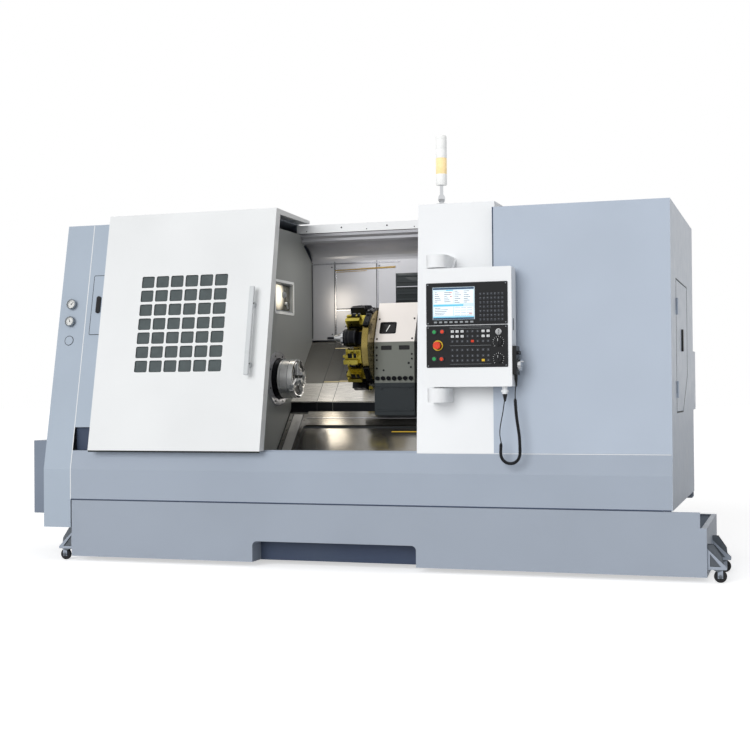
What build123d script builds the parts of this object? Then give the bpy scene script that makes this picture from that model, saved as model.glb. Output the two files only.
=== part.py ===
from build123d import *
import math
import os

# A slant bed turning lathe in its sheet metal guard, with the work door pushed open.
# Millimetres. +X runs along the spindle to the tailstock, +Y to the back, +Z up.
# The origin is on the floor, below the middle of the whole machine.

# Overall sizes
body_length = 3380.0
body_depth = 1320.0
left_reach = 255.0
right_reach = 242.0
front_reach = 146.0
rear_reach = 160.0
body_top = 1860.0
housing_top = 1812.0
column_top = 1850.0
tower_top = 2204.0
sheet = 3.0
seam_gap = 0.4
seat_gap = 0.3

# Where the body stands from the origin
x_left = -(left_reach + body_length + right_reach) / 2 + left_reach
x_right = x_left + body_length
y_front = -(front_reach + body_depth + rear_reach) / 2 + front_reach
y_back = y_front + body_depth

# The guard's front: upright to the bevel, then leaning back
post_width = 166.0
post_bottom = 180.0
skirt_bottom = 332.0
bevel_z = 496.0
sill_z = 598.0
sill_depth = 62.0
lean = 0.203
lean_deg = math.degrees(math.atan(lean))
seam_x = x_left + post_width

# The work space between its left wall and the white column
wall_x = seam_x + 1080.0
column_x = seam_x + 1959.0
column_width = 394.0
column_depth = 230.0
housing_x = column_x + column_width
back_wall_y = y_front + 885.0
fascia_y = y_front + 700.0
fascia_bottom = 1806.0

# Spindle, and the slant that the carriages climb
spindle_y = y_front + 337.0
spindle_z = 980.0
bed_deg = 45.0
cover_drop = 227.0
way_drop = 323.0
way_height = 12.0
cover_low = 46.0
cover_high = 545.0
cover_sheet = 3.0

# Chuck, adapter and spindle
chuck_radius = 105.0
chuck_length = 86.0
chuck_bore = 31.0
adapter_length = 33.0
adapter_radius = 108.0
nose_radius = 85.0
shaft_radius = 65.0
tube_radius = 45.0
running_gap = 0.05
spindle_bore = 26.0
ring_radius = 148.0
ring_hole = 113.0
ring_thick = 12.0

# Belt drive at the left end
belt_width = 80.0
belt_thick = 8.0
belt_gap = 0.3
pulley_width = 90.0
pulley_x = seam_x + 335.0
spindle_pulley_radius = 120.0
motor_pulley_radius = 80.0
motor_y = y_front + 860.0
motor_z = 400.0
motor_half = 145.0
motor_length = 480.0
motor_shaft_radius = 27.5

# Bed casting
bed_x = seam_x + 440.0
bed_length = 2610.0
bed_front_y = y_front + 500.0
bed_back_y = y_front + 1200.0
bed_base_z = 60.0
tunnel_low_z = 180.0
tunnel_high_z = 600.0
tunnel_front_y = y_front + 620.0
tunnel_back_y = y_front + 1110.0

# Carriages and turret
carriage_gap = 0.3
saddle_x = seam_x + 1600.0
saddle_length = 285.0
slide_x = seam_x + 1617.0
slide_length = 223.0
turret_reach = 226.3
turret_out = 8.0
disc_radius = 160.0
disc_thick = 90.0
disc_rim_thick = 36.0
disc_rim_radius = 200.0
disc_flats = 12
holder_radius = 231.0
screw_radius = 20.0
screw_end_radius = 15.0
screw_drop = 10.0
screw_x = bed_x + 660.0
screw_length = 1560.0
bearing_inset = 4.0
bearing_block = 34.0

# Tailstock
tail_x = seam_x + 2400.0
tail_length = 360.0
quill_radius = 45.0
quill_length = 330.0

# Door
door_left = seam_x + 129.0
door_width = 1002.0
door_bottom = 602.0
door_top = 1896.0
door_standoff = 62.0
door_gap = 4.0
door_roof_y = y_front + 720.0
window_left = door_left + 237.0
window_bottom_z = 1019.0
hole_width = 75.0
hole_height = 64.6
hole_bar = 12.4
window_columns = 6
window_rows = 7
handle_x = door_left + 914.0
handle_low_z = 990.0
handle_high_z = 1460.0
handle_standoff = 42.0
handle_radius = 12.5

# Pendant control box
pendant_x = seam_x + 2037.0
pendant_width = 440.0
pendant_bottom = 926.0
pendant_top = 1505.0
pendant_front_y = y_front - 114.0
pendant_depth = 98.0
pivot_inset = 58.0
pivot_y = y_front - 62.0
boss_radius = 52.0
panel_width = 400.0
panel_x = pendant_x + 18.6
panel_proud = 4.0
unit_bottom = 1230.0
unit_height = 200.0
operator_bottom = 1023.0
operator_height = 198.0
button_gap = 0.3

# Chip tank
tank_x = seam_x + 6.0
tank_length = 3362.0
tank_depth = 460.0
tank_bottom = 26.0
tank_rim = 255.0
tank_front_top = 329.0
bay_length = 300.0
bay_depth = 300.0
notch_x = seam_x + 1071.0
notch_length = 885.0
notch_top = 134.0
notch_depth = 110.0
wheel_radius = 30.0
wheel_width = 18.0
wheel_out = 58.0
caster_front_y = y_front + 40.0
caster_rear_y = y_front + 417.0

pieces = {}


def guard_y(z):
    """The leaning front of the guard at a height."""
    return y_front + lean * (z - bevel_z)


def door_y(z):
    """The door's outer face at a height."""
    return guard_y(z) - door_standoff


def slant(along, out):
    """A point in the YZ plane: along the bed's slope from the spindle axis, and out from it."""
    a = math.radians(bed_deg)
    y = spindle_y + along * math.cos(a) - out * math.sin(a)
    z = spindle_z + along * math.sin(a) + out * math.cos(a)
    return (y, z)


def prism(x0, x1, outline, mode=Mode.ADD):
    """A closed outline in the YZ plane, carried along X."""
    with BuildSketch(Plane.YZ.offset(x0)) as profile:
        with BuildLine():
            Polyline(*outline, close=True)
        make_face()
    return extrude(profile.sketch, amount=x1 - x0, mode=mode)


def block(x0, x1, y0, y1, z0, z1, mode=Mode.ADD):
    """A block between two corners."""
    return prism(x0, x1, [(y0, z0), (y1, z0), (y1, z1), (y0, z1)], mode)


def beside(line, thick):
    """The line moved sideways: to its left for a positive thickness, to its right for a negative one."""
    normals = []
    for (y0, z0), (y1, z1) in zip(line, line[1:]):
        run = math.hypot(y1 - y0, z1 - z0)
        normals.append(((z0 - z1) / run, (y1 - y0) / run))
    moved = []
    for i, (y, z) in enumerate(line):
        before = normals[max(i - 1, 0)]
        after = normals[min(i, len(normals) - 1)]
        share = thick / (1 + before[0] * after[0] + before[1] * after[1])
        moved.append((y + share * (before[0] + after[0]), z + share * (before[1] + after[1])))
    return moved


def bent(x0, x1, line, thick=sheet, mode=Mode.ADD):
    """A bent sheet: an open line in the YZ plane with a thickness beside it, carried along X."""
    return prism(x0, x1, list(line) + beside(line, thick)[::-1], mode)


def round_bar(plane, radius, length, mode=Mode.ADD):
    """A round bar that starts on a plane and runs along its normal."""
    with BuildSketch(plane) as profile:
        Circle(radius)
    return extrude(profile.sketch, amount=length, mode=mode)


def turned(x0, y, z, steps, mode=Mode.ADD):
    """A turned shape on an axis along X: (distance from x0, radius) pairs, closed on the axis."""
    with BuildSketch(Plane((x0, y, z), x_dir=(1, 0, 0), z_dir=(0, -1, 0))) as profile:
        with BuildLine():
            Polyline((steps[0][0], 0), *steps, (steps[-1][0], 0), close=True)
        make_face()
    return revolve(profile.sketch, axis=Axis((x0, y, z), (1, 0, 0)), mode=mode)


def across(x, y, z):
    """A plane square to the spindle, its normal along +X."""
    return Plane((x, y, z), x_dir=(0, 1, 0), z_dir=(1, 0, 0))


def leaning_plane(x, z, proud=0.0):
    """A plane on the leaning guard face, its normal pointing out to the front."""
    a = math.radians(lean_deg)
    origin = (x, guard_y(z) - proud * math.cos(a), z + proud * math.sin(a))
    return Plane(origin, x_dir=(1, 0, 0), z_dir=(0, -math.cos(a), math.sin(a)))


def front_plane(x, y, z):
    """An upright plane facing the front, at a point."""
    return Plane((x, y, z), x_dir=(1, 0, 0), z_dir=(0, -1, 0))


# Bed casting with box ways on its slope, a screw trough and a tunnel, on its levelling feet
way_seat = way_drop + way_height
lower_way = (60.0, 150.0)
upper_way = (430.0, 520.0)
trough = (215.0, 365.0)
trough_depth = 60.0
bed_top_z = 1167.0
foot_radius = 60.0
foot_pad = 22.0
foot_screw = 16.0

with BuildPart() as bed:
    front_along = (bed_front_y - spindle_y) * math.sqrt(2) - way_seat
    prism(bed_x, bed_x + bed_length, [
        (bed_front_y, bed_base_z),
        (bed_back_y, bed_base_z),
        (bed_back_y, 900.0),
        (y_front + 1100.0, bed_top_z),
        slant(600.0, -way_seat),
        slant(upper_way[1], -way_seat),
        slant(upper_way[1], -way_drop),
        slant(upper_way[0], -way_drop),
        slant(upper_way[0], -way_seat),
        slant(trough[1], -way_seat),
        slant(trough[1], -way_seat - trough_depth),
        slant(trough[0], -way_seat - trough_depth),
        slant(trough[0], -way_seat),
        slant(lower_way[1], -way_seat),
        slant(lower_way[1], -way_drop),
        slant(lower_way[0], -way_drop),
        slant(lower_way[0], -way_seat),
        slant(front_along, -way_seat),
    ])
    block(bed_x, bed_x + bed_length, tunnel_front_y, tunnel_back_y, tunnel_low_z, tunnel_high_z,
          Mode.SUBTRACT)
    # Core openings through the back wall
    for i in range(3):
        core_x = bed_x + 700.0 + i * 650.0
        block(core_x, core_x + 400.0, tunnel_back_y - 1, bed_back_y + 1, 260.0, 520.0, Mode.SUBTRACT)
    # Bearing blocks for the long screw, in the trough
    screw_y, screw_z = slant((trough[0] + trough[1]) / 2, -way_seat - screw_drop)
    for bx in (screw_x + bearing_inset, screw_x + screw_length - bearing_inset - bearing_block):
        prism(bx, bx + bearing_block, [
            slant(trough[0] - 1.0, -way_seat - trough_depth - 1.0),
            slant(trough[1] + 1.0, -way_seat - trough_depth - 1.0),
            slant(trough[1] + 1.0, -way_seat),
            slant(trough[0] - 1.0, -way_seat),
        ])
        round_bar(across(bx - 1, screw_y, screw_z), screw_end_radius + running_gap, bearing_block + 2,
                  Mode.SUBTRACT)
    # Levelling feet under the casting
    for fx in (90.0, bed_length / 2, bed_length - 90.0):
        for fy in (bed_front_y + 70.0, bed_back_y - 70.0):
            foot = Plane((bed_x + fx, fy, 0))
            round_bar(foot, foot_radius, foot_pad)
            round_bar(foot.offset(foot_pad), foot_screw, bed_base_z - foot_pad)
pieces["bed"] = bed

# Headstock casting, bored for the spindle
head_x = seam_x + 470.0
head_length = 568.0
head_radius = 165.0
bearing_length = 130.0
with BuildPart() as headstock:
    prism(head_x, head_x + head_length, [
        slant(-100.0, -way_seat),
        slant(lower_way[0] - seat_gap, -way_seat),
        slant(lower_way[0] - seat_gap, -way_drop),
        slant(upper_way[0] - 60.0, -way_drop),
        slant(upper_way[0] - 60.0, -way_drop + 40.0),
        slant(190.0, -60.0),
        slant(-160.0, -60.0),
    ])
    round_bar(across(head_x, spindle_y, spindle_z), head_radius, head_length)
    round_bar(across(head_x, spindle_y, spindle_z), shaft_radius + running_gap, head_length,
              Mode.SUBTRACT)
    relief_length = head_length - 2 * bearing_length
    round_bar(across(head_x + bearing_length, spindle_y, spindle_z), 100.0, relief_length,
              Mode.SUBTRACT)
pieces["headstock"] = headstock

def grooved_pulley(x, y, z, radius, bore):
    """A pulley with a row of V grooves between two rims."""
    rim = 5.0
    pitch = (pulley_width - 2 * rim) / 8
    profile = [(0, radius + 6), (rim, radius + 6), (rim, radius)]
    for i in range(8):
        profile.append((rim + (i + 0.5) * pitch, radius - 6))
        profile.append((rim + (i + 1) * pitch, radius))
    profile += [(pulley_width - rim, radius + 6), (pulley_width, radius + 6)]
    with BuildPart() as pulley:
        turned(x, y, z, profile)
        round_bar(across(x, y, z), bore, pulley_width, Mode.SUBTRACT)
    return pulley


# Spindle with its belt pulley, bored through for bar stock
nose_x = wall_x + 7.0
tube_x = seam_x + 230.0
with BuildPart() as spindle:
    turned(tube_x, spindle_y, spindle_z, [
        (0, tube_radius),
        (head_x - 40.0 - tube_x, tube_radius),
        (head_x - 40.0 - tube_x, shaft_radius),
        (head_x + head_length + 6.0 - tube_x, shaft_radius),
        (head_x + head_length + 6.0 - tube_x, nose_radius),
        (nose_x - tube_x, nose_radius),
    ])
    round_bar(across(tube_x, spindle_y, spindle_z), spindle_bore, nose_x - tube_x, Mode.SUBTRACT)
    spindle_pulley = grooved_pulley(pulley_x, spindle_y, spindle_z, spindle_pulley_radius,
                                    tube_radius + running_gap)
    add(spindle_pulley.part)
pieces["spindle"] = spindle

# Rotary cylinder that works the chuck, at the spindle's left end
cylinder_radius = 92.0
cylinder_length = 150.0
with BuildPart() as chuck_cylinder:
    turned(tube_x - cylinder_length, spindle_y, spindle_z, [
        (0, 38.0),
        (30.0, 38.0),
        (30.0, 60.0),
        (62.0, 60.0),
        (62.0, cylinder_radius),
        (cylinder_length - 12.0, cylinder_radius),
        (cylinder_length - 12.0, tube_radius + 20.0),
        (cylinder_length, tube_radius + 20.0),
    ])
    round_bar(across(tube_x - cylinder_length, spindle_y, spindle_z), spindle_bore, cylinder_length,
              Mode.SUBTRACT)
    with Locations(across(tube_x - cylinder_length + 62.0, spindle_y, spindle_z)):
        with PolarLocations(77.0, 8):
            Hole(5.5, depth=cylinder_length)
pieces["chuck_cylinder"] = chuck_cylinder

# Black adapter between the spindle nose and the chuck
with BuildPart() as chuck_adapter:
    round_bar(across(nose_x, spindle_y, spindle_z), adapter_radius, adapter_length)
    round_bar(across(nose_x, spindle_y, spindle_z), chuck_bore, adapter_length, Mode.SUBTRACT)
    chamfer(chuck_adapter.edges().filter_by(GeomType.CIRCLE).sort_by(Axis.X)[0], 2.0)
pieces["chuck_adapter"] = chuck_adapter

# Three jaw power chuck: a steel body with T slots, and a stepped jaw in each slot
chuck_x = nose_x + adapter_length
chuck_face_x = chuck_x + chuck_length
slot_width = 36.0
slot_depth = 22.0
face_drop = 14.0
chuck_rim = chuck_radius - 17.0
jaw_width = slot_width - 2 * seat_gap
jaw_in = 15.0
jaw_length = 82.0
jaw_tip = 20.0
with BuildPart() as chuck_body:
    turned(chuck_x, spindle_y, spindle_z, [
        (0, chuck_radius - 3.0),
        (3.0, chuck_radius),
        (chuck_length - 4.0, chuck_radius),
        (chuck_length, chuck_radius - 4.0),
    ])
    round_bar(across(chuck_face_x, spindle_y, spindle_z), chuck_rim, -face_drop, Mode.SUBTRACT)
    round_bar(across(chuck_x, spindle_y, spindle_z), chuck_bore, chuck_length, Mode.SUBTRACT)
    with BuildSketch(across(chuck_face_x - slot_depth, spindle_y, spindle_z)) as jaw_slots:
        with PolarLocations(chuck_radius / 2, 3, start_angle=90):
            Rectangle(chuck_radius + 20.0, slot_width)
    extrude(jaw_slots.sketch, amount=slot_depth + 1, mode=Mode.SUBTRACT)
    with BuildSketch(across(chuck_face_x - face_drop, spindle_y, spindle_z)) as face_screws:
        with PolarLocations(66.0, 3, start_angle=30):
            Circle(8.0)
    extrude(face_screws.sketch, amount=-14.0, mode=Mode.SUBTRACT)
pieces["chuck_body"] = chuck_body


def chuck_jaw(angle):
    """A stepped jaw with a pointed tip, in the slot at an angle about the spindle."""
    a = math.radians(angle)
    plane = Plane((chuck_face_x - slot_depth + seat_gap, spindle_y, spindle_z),
                  x_dir=(0, math.cos(a), math.sin(a)), z_dir=(1, 0, 0))
    with BuildPart() as jaw:
        with BuildSketch(plane) as master:
            with Locations((jaw_in + jaw_length / 2, 0)):
                Rectangle(jaw_length, jaw_width)
        extrude(master.sketch, amount=slot_depth - 3.0)
        for length, rise in ((jaw_length - 8.0, 6.0), (2 * jaw_tip, 16.0), (jaw_tip, 30.0)):
            with BuildSketch(plane.offset(slot_depth - 4.0)) as step:
                with Locations((jaw_in + length / 2, 0)):
                    Rectangle(length, jaw_width - 10.0)
            extrude(step.sketch, amount=rise)
        # The tip comes to a blunt point, clear of the other two
        with BuildSketch(plane) as point:
            for side in (1, -1):
                with BuildLine():
                    Polyline((jaw_in - 1.0, side * 7.0), (jaw_in - 1.0, side * 20.0),
                             (jaw_in + 8.0, side * 20.0), close=True)
                make_face()
        extrude(point.sketch, amount=slot_depth + 40.0, mode=Mode.SUBTRACT)
    return jaw


for number, jaw_angle in enumerate((90.0, 210.0, 330.0), start=1):
    pieces[f"chuck_jaw_{number}"] = chuck_jaw(jaw_angle)

# Spindle motor in the bed's tunnel, square and finned, with its pulley and shaft
motor_x = bed_x + 20.0
with BuildPart() as spindle_motor:
    motor_plane = across(motor_x, motor_y, motor_z)
    with BuildSketch(motor_plane) as motor_section:
        RectangleRounded(2 * motor_half, 2 * motor_half, 34.0)
    extrude(motor_section.sketch, amount=motor_length)
    # Cooling fins between the two end bells
    fin_pitch = 26.0
    for side in range(4):
        for i in range(7):
            shift = (i - 3) * fin_pitch
            depth = motor_half - 7.0
            with BuildSketch(motor_plane.offset(70.0)) as fin_gap:
                with Locations(Rotation(0, 0, 90 * side) * Location((depth + 7.0, shift))):
                    Rectangle(14.0, 12.0)
            extrude(fin_gap.sketch, amount=motor_length - 130.0, mode=Mode.SUBTRACT)
    round_bar(motor_plane, motor_shaft_radius + running_gap, 90.0, Mode.SUBTRACT)
    # Feet on the tunnel floor
    foot_top = motor_z - motor_half + 2.0
    for fx in (30.0, motor_length - 110.0):
        block(motor_x + fx, motor_x + fx + 80.0, motor_y - 120.0, motor_y + 120.0, tunnel_low_z,
              foot_top)
pieces["spindle_motor"] = spindle_motor

with BuildPart() as motor_pulley:
    add(grooved_pulley(pulley_x, motor_y, motor_z, motor_pulley_radius, 10.0).part)
    round_bar(across(pulley_x, motor_y, motor_z), motor_shaft_radius, motor_x + 80.0 - pulley_x)
pieces["motor_pulley"] = motor_pulley


def belt_outline(grow):
    """The loop round both pulleys, as two circles and the quadrilateral between their tangents."""
    centres = [(spindle_y, spindle_z), (motor_y, motor_z)]
    radii = [spindle_pulley_radius + 6.0 + grow, motor_pulley_radius + 6.0 + grow]
    dy = centres[1][0] - centres[0][0]
    dz = centres[1][1] - centres[0][1]
    heading = math.atan2(dz, dy)
    swing = math.acos((radii[0] - radii[1]) / math.hypot(dy, dz))
    corners = []
    for turn, order in ((swing, (0, 1)), (-swing, (1, 0))):
        for k in order:
            y = centres[k][0] + radii[k] * math.cos(heading + turn)
            z = centres[k][1] + radii[k] * math.sin(heading + turn)
            corners.append((y, z))
    return centres, radii, corners


def belt_solid(grow, mode):
    """One filled loop of the belt's width."""
    centres, radii, corners = belt_outline(grow)
    with BuildSketch(Plane.YZ.offset(pulley_x + (pulley_width - belt_width) / 2)) as loop:
        for centre, radius in zip(centres, radii):
            with Locations(centre):
                Circle(radius)
        with BuildLine():
            Polyline(*corners, close=True)
        make_face()
    extrude(loop.sketch, amount=belt_width, mode=mode)


# Ribbed drive belt round both pulleys
with BuildPart() as drive_belt:
    belt_solid(belt_gap + belt_thick, Mode.ADD)
    belt_solid(belt_gap, Mode.SUBTRACT)
pieces["drive_belt"] = drive_belt

# Left end guard: a tall folded casing, open towards the headstock
with BuildPart() as left_end_guard:
    end_line = [
        (y_front, post_bottom),
        (y_front, bevel_z),
        (guard_y(body_top), body_top),
        (y_back, body_top),
        (y_back, post_bottom),
    ]
    prism(x_left, seam_x - seam_gap, end_line)
    prism(x_left + sheet, seam_x, [
        (y_front + sheet, post_bottom - 1),
        (y_front + sheet, bevel_z),
        (guard_y(body_top) + sheet, body_top - sheet),
        (y_back - sheet, body_top - sheet),
        (y_back - sheet, post_bottom - 1),
    ], Mode.SUBTRACT)
    # Folded floor with a hole for hoses, and louvres low on the end
    block(x_left + sheet, seam_x - seam_gap, y_front + sheet, y_back - sheet, post_bottom,
          post_bottom + sheet)
    block(x_left + 40.0, seam_x - 40.0, y_front + 300.0, y_front + 900.0, post_bottom - 1,
          post_bottom + sheet + 1, Mode.SUBTRACT)
    for i in range(9):
        louvre_z = 700.0 + i * 32.0
        block(x_left - 1, x_left + sheet + 1, y_front + 780.0, y_front + 1120.0, louvre_z,
              louvre_z + 10.0, Mode.SUBTRACT)
pieces["left_end_guard"] = left_end_guard

# Hydraulic unit in its casing, fixed to the left end
unit_low = 225.0
unit_high = 640.0
with BuildPart() as hydraulic_unit:
    block(x_left - left_reach, x_left - seat_gap, y_front + 300.0, y_front + 820.0, unit_low, unit_high)
    unit_edges = hydraulic_unit.edges().filter_by(Axis.Z).group_by(Axis.X)[0]
    fillet(unit_edges, 10.0)
    for i in range(7):
        slot_z = unit_low + 120.0 + i * 28.0
        block(x_left - left_reach - 1, x_left - left_reach + 4.0, y_front + 400.0, y_front + 720.0,
              slot_z, slot_z + 9.0, Mode.SUBTRACT)
pieces["hydraulic_unit"] = hydraulic_unit

# Two pressure gauges and a blank plug on the left end guard
gauge_radius = 30.0
gauge_x = seam_x - 90.0
gauge_heights = (1406.0, 1309.0)
plug_height = 1204.0
with BuildPart() as pressure_gauges:
    for gauge_z in gauge_heights:
        face = leaning_plane(gauge_x, gauge_z)
        round_bar(face, gauge_radius - 5.0, 6.0)
        round_bar(face.offset(6.0), gauge_radius, 16.0)
        round_bar(face.offset(18.0), gauge_radius - 4.0, 5.0, Mode.SUBTRACT)
    face = leaning_plane(gauge_x, plug_height)
    round_bar(face, 26.0, 5.0)
    round_bar(face.offset(5.0), 17.0, 5.0)
pieces["pressure_gauges"] = pressure_gauges

# Headstock guard: the leaning panel behind the open door, its roof, and a hatch with a latch
guard_right = wall_x - sheet - 2.0
guard_low = 724.0
hatch_left = seam_x + 34.0
hatch_width = 300.0
hatch_low = 1236.0
hatch_high = 1565.0
with BuildPart() as headstock_guard:
    bent(seam_x + seam_gap, guard_right, [
        (guard_y(guard_low) + 42.0, guard_low),
        (guard_y(guard_low), guard_low),
        (guard_y(body_top), body_top),
        (y_back - sheet - seam_gap, body_top),
        (y_back - sheet - seam_gap, body_top - 40.0),
    ], -sheet)
    # Hatch, seated on the panel, with its stiff black latch
    hatch_z = (hatch_low + hatch_high) / 2
    hatch_plane = leaning_plane(hatch_left + hatch_width / 2, hatch_z, seat_gap)
    hatch_length = (hatch_high - hatch_low) / math.cos(math.radians(lean_deg))
    with BuildSketch(hatch_plane) as hatch:
        RectangleRounded(hatch_width, hatch_length, 6.0)
    extrude(hatch.sketch, amount=2.0)
    latch_plane = leaning_plane(hatch_left + 42.0, hatch_z, seat_gap + 2.0 + seat_gap)
    with BuildSketch(latch_plane) as latch:
        SlotOverall(92.0, 22.0, rotation=90)
    extrude(latch.sketch, amount=8.0)
pieces["headstock_guard"] = headstock_guard

# Front skirt with its bevel and sill, and the rib that the door runs on
rail_y = y_front + 36.0
rail_width = 6.0
rail_height = 8.0
with BuildPart() as front_skirt:
    bent(seam_x + seam_gap, x_right - sheet - seam_gap, [
        (y_front + 40.0, skirt_bottom),
        (y_front, skirt_bottom),
        (y_front, bevel_z),
        (guard_y(sill_z), sill_z),
        (y_front + sill_depth, sill_z),
        (y_front + sill_depth, sill_z - 38.0),
    ], -sheet)
    block(door_left, column_x - seam_gap, rail_y, rail_y + rail_width, sill_z, sill_z + rail_height)
    # Arms that carry the skirt on the bed, left and right of the chip opening
    for arm_x in (bed_x + 60.0, bed_x + bed_length - 100.0):
        block(arm_x, arm_x + 40.0, y_front + sheet - 1, bed_front_y - seat_gap, 400.0, 460.0)
pieces["front_skirt"] = front_skirt

# Stainless lining: left wall with the spindle opening and lamp recess, back wall, stepped roof
wall_low = 575.0
liner_step = 1756.0
back_wall_top = 1662.0
lamp_y = y_front + 322.0
lamp_z = 1350.0
lamp_width = 258.0
lamp_height = 160.0
apron_drop = 267.0
curve_steps = 10
roof_sheet = 2.0
fascia_sheet = 2.5
apron_wall_gap = 5.0


def on_apron(y):
    """Height of the slanted apron below the covers, at a distance back."""
    return spindle_z + (y - spindle_y) - apron_drop * math.sqrt(2)


with BuildPart() as cavity_liner:
    low_y = y_front + 66.0
    wall_clear = apron_wall_gap * math.sqrt(2)
    foot_y = spindle_y + wall_low - spindle_z + apron_drop * math.sqrt(2) - wall_clear
    prism(wall_x - sheet, wall_x, [
        (low_y, wall_low),
        (foot_y, wall_low),
        (back_wall_y, on_apron(back_wall_y) + wall_clear),
        (back_wall_y, back_wall_top),
        (fascia_y + 40.0, liner_step),
        (fascia_y, fascia_bottom),
        (guard_y(fascia_bottom) + 8.0, fascia_bottom),
        (low_y, guard_low),
    ])
    round_bar(across(wall_x - 10.0, spindle_y, spindle_z), ring_hole, 20.0, Mode.SUBTRACT)
    block(wall_x - 10.0, wall_x + 10.0, lamp_y, lamp_y + lamp_width, lamp_z, lamp_z + lamp_height,
          Mode.SUBTRACT)
    # Polished ring round the spindle opening, bolted to the wall
    round_bar(across(wall_x, spindle_y, spindle_z), ring_radius, ring_thick)
    round_bar(across(wall_x - 1, spindle_y, spindle_z), ring_hole, ring_thick + 2, Mode.SUBTRACT)
    with BuildSketch(across(wall_x + ring_thick, spindle_y, spindle_z)) as ring_screws:
        with PolarLocations(131.0, 8, start_angle=22.5):
            Circle(6.0)
    extrude(ring_screws.sketch, amount=-5.0, mode=Mode.SUBTRACT)
    # Back wall
    bent(wall_x + seam_gap, column_x + column_width + 300.0, [
        (back_wall_y + 30.0, spindle_z + 230.0),
        (back_wall_y, spindle_z + 230.0),
        (back_wall_y, back_wall_top),
    ])
    # Stepped roof liner that turns down in a curve to the back wall
    roof_line = [
        (fascia_y + 30.0, fascia_bottom + 1.0),
        (fascia_y + 4.0, fascia_bottom + 1.0),
        (fascia_y + 4.0, fascia_bottom - 14.0),
        (fascia_y + 22.0, fascia_bottom - 26.0),
        (fascia_y + 22.0, fascia_bottom - 40.0),
    ]
    curve_back = back_wall_y - seat_gap - fascia_y - 40.0
    curve_down = liner_step - back_wall_top - seat_gap
    for i in range(curve_steps + 1):
        a = math.radians(90.0) * i / curve_steps
        roof_line.append((fascia_y + 40.0 + curve_back * math.sin(a),
                          liner_step - curve_down * (1 - math.cos(a))))
    bent(wall_x + seam_gap, column_x - seam_gap, roof_line, roof_sheet)
pieces["cavity_liner"] = cavity_liner

# Work lamp in the recess of the left wall
with BuildPart() as work_lamp:
    block(wall_x - 45.0, wall_x - sheet - seat_gap, lamp_y - 12.0, lamp_y + lamp_width + 12.0,
          lamp_z - 12.0, lamp_z + lamp_height + 12.0)
    block(wall_x - 38.0, wall_x, lamp_y + 6.0, lamp_y + lamp_width - 6.0, lamp_z + 6.0,
          lamp_z + lamp_height - 6.0, Mode.SUBTRACT)
    block(wall_x - 30.0, wall_x - 22.0, lamp_y + 6.0, lamp_y + lamp_width - 6.0, lamp_z + 6.0,
          lamp_z + lamp_height - 6.0)
pieces["work_lamp"] = work_lamp

# Telescopic way covers: one plate fixed at the wall, one that follows at half speed, one on the saddle
cover_front_drop = 60.0
cover_fixed_right = seam_x + 1394.0
cover_middle_left = seam_x + 1236.0
cover_middle_right = seam_x + 1490.0
cover_moving_left = seam_x + 1330.0
cover_pitch = cover_sheet + 0.6


def cover_plate(x0, x1, level):
    """A cover plate on the slope, its front edge folded down, a number of levels below the top one."""
    out = -cover_drop - level * cover_pitch
    low = slant(cover_low + level * cover_pitch, out)
    bent(x0, x1, [
        slant(cover_high, out),
        low,
        (low[0], low[1] - cover_front_drop),
    ], cover_sheet)


with BuildPart() as way_cover_middle:
    cover_plate(cover_middle_left, cover_middle_right, 1)
pieces["way_cover_middle"] = way_cover_middle

with BuildPart() as way_cover_moving:
    cover_plate(cover_moving_left, saddle_x - seam_gap, 0)
pieces["way_cover_moving"] = way_cover_moving

# Saddle on the bed ways
with BuildPart() as saddle:
    saddle_bottom = -way_drop + carriage_gap
    saddle_top = -cover_drop
    prism(saddle_x, saddle_x + saddle_length, [
        slant(20.0, saddle_bottom),
        slant(20.0, saddle_top),
        slant(cover_high - 5.0, saddle_top),
        slant(cover_high - 5.0, saddle_bottom),
        slant(trough[1], saddle_bottom),
        slant(trough[1], saddle_bottom + 12.0),
        slant(trough[0], saddle_bottom + 12.0),
        slant(trough[0], saddle_bottom),
    ])
    # Screw nut in the trough below
    round_bar(across(saddle_x + 60.0, screw_y, screw_z), 38.0, 120.0)
    round_bar(across(saddle_x + 59.0, screw_y, screw_z), screw_radius + running_gap, 122.0,
              Mode.SUBTRACT)
pieces["saddle"] = saddle

# Long ball screw in the trough
with BuildPart() as z_ball_screw:
    turned(screw_x, screw_y, screw_z, [
        (0, screw_end_radius),
        (40.0, screw_end_radius),
        (40.0, screw_radius),
        (screw_length - 40.0, screw_radius),
        (screw_length - 40.0, screw_end_radius),
        (screw_length, screw_end_radius),
    ])
pieces["z_ball_screw"] = z_ball_screw

# Cross slide with its dark apron
slide_top = -124.0
slide_bottom = saddle_top + carriage_gap
slide_back_y = y_front + 745.0
slide_front_y = y_front + 400.0
apron_low_z = 780.0
apron_thick = 48.0


def at_level(y, out):
    """Height at a distance back, on the plane parallel to the slope at a level."""
    return spindle_z + (y - spindle_y) + out * math.sqrt(2)


with BuildPart() as cross_slide:
    apron_back_y = slide_front_y + apron_thick
    prism(slide_x, slide_x + slide_length, [
        (slide_front_y, apron_low_z),
        (apron_back_y, apron_low_z),
        (apron_back_y, at_level(apron_back_y, slide_bottom)),
        (slide_back_y, at_level(slide_back_y, slide_bottom)),
        (slide_back_y, at_level(slide_back_y, slide_top)),
        (spindle_y + 148.0, at_level(spindle_y + 148.0, slide_top)),
        (slide_front_y, at_level(spindle_y + 148.0, slide_top)),
    ])
    slide_shelf_z = at_level(spindle_y + 148.0, slide_top)
    # Cover bolts and a plugged hole on the apron
    with BuildSketch(front_plane(slide_x + slide_length / 2, slide_front_y, apron_low_z + 86.0)) as pads:
        with GridLocations(150.0, 120.0, 2, 2):
            Circle(9.0)
    extrude(pads.sketch, amount=4.0)
pieces["cross_slide"] = cross_slide

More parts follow.
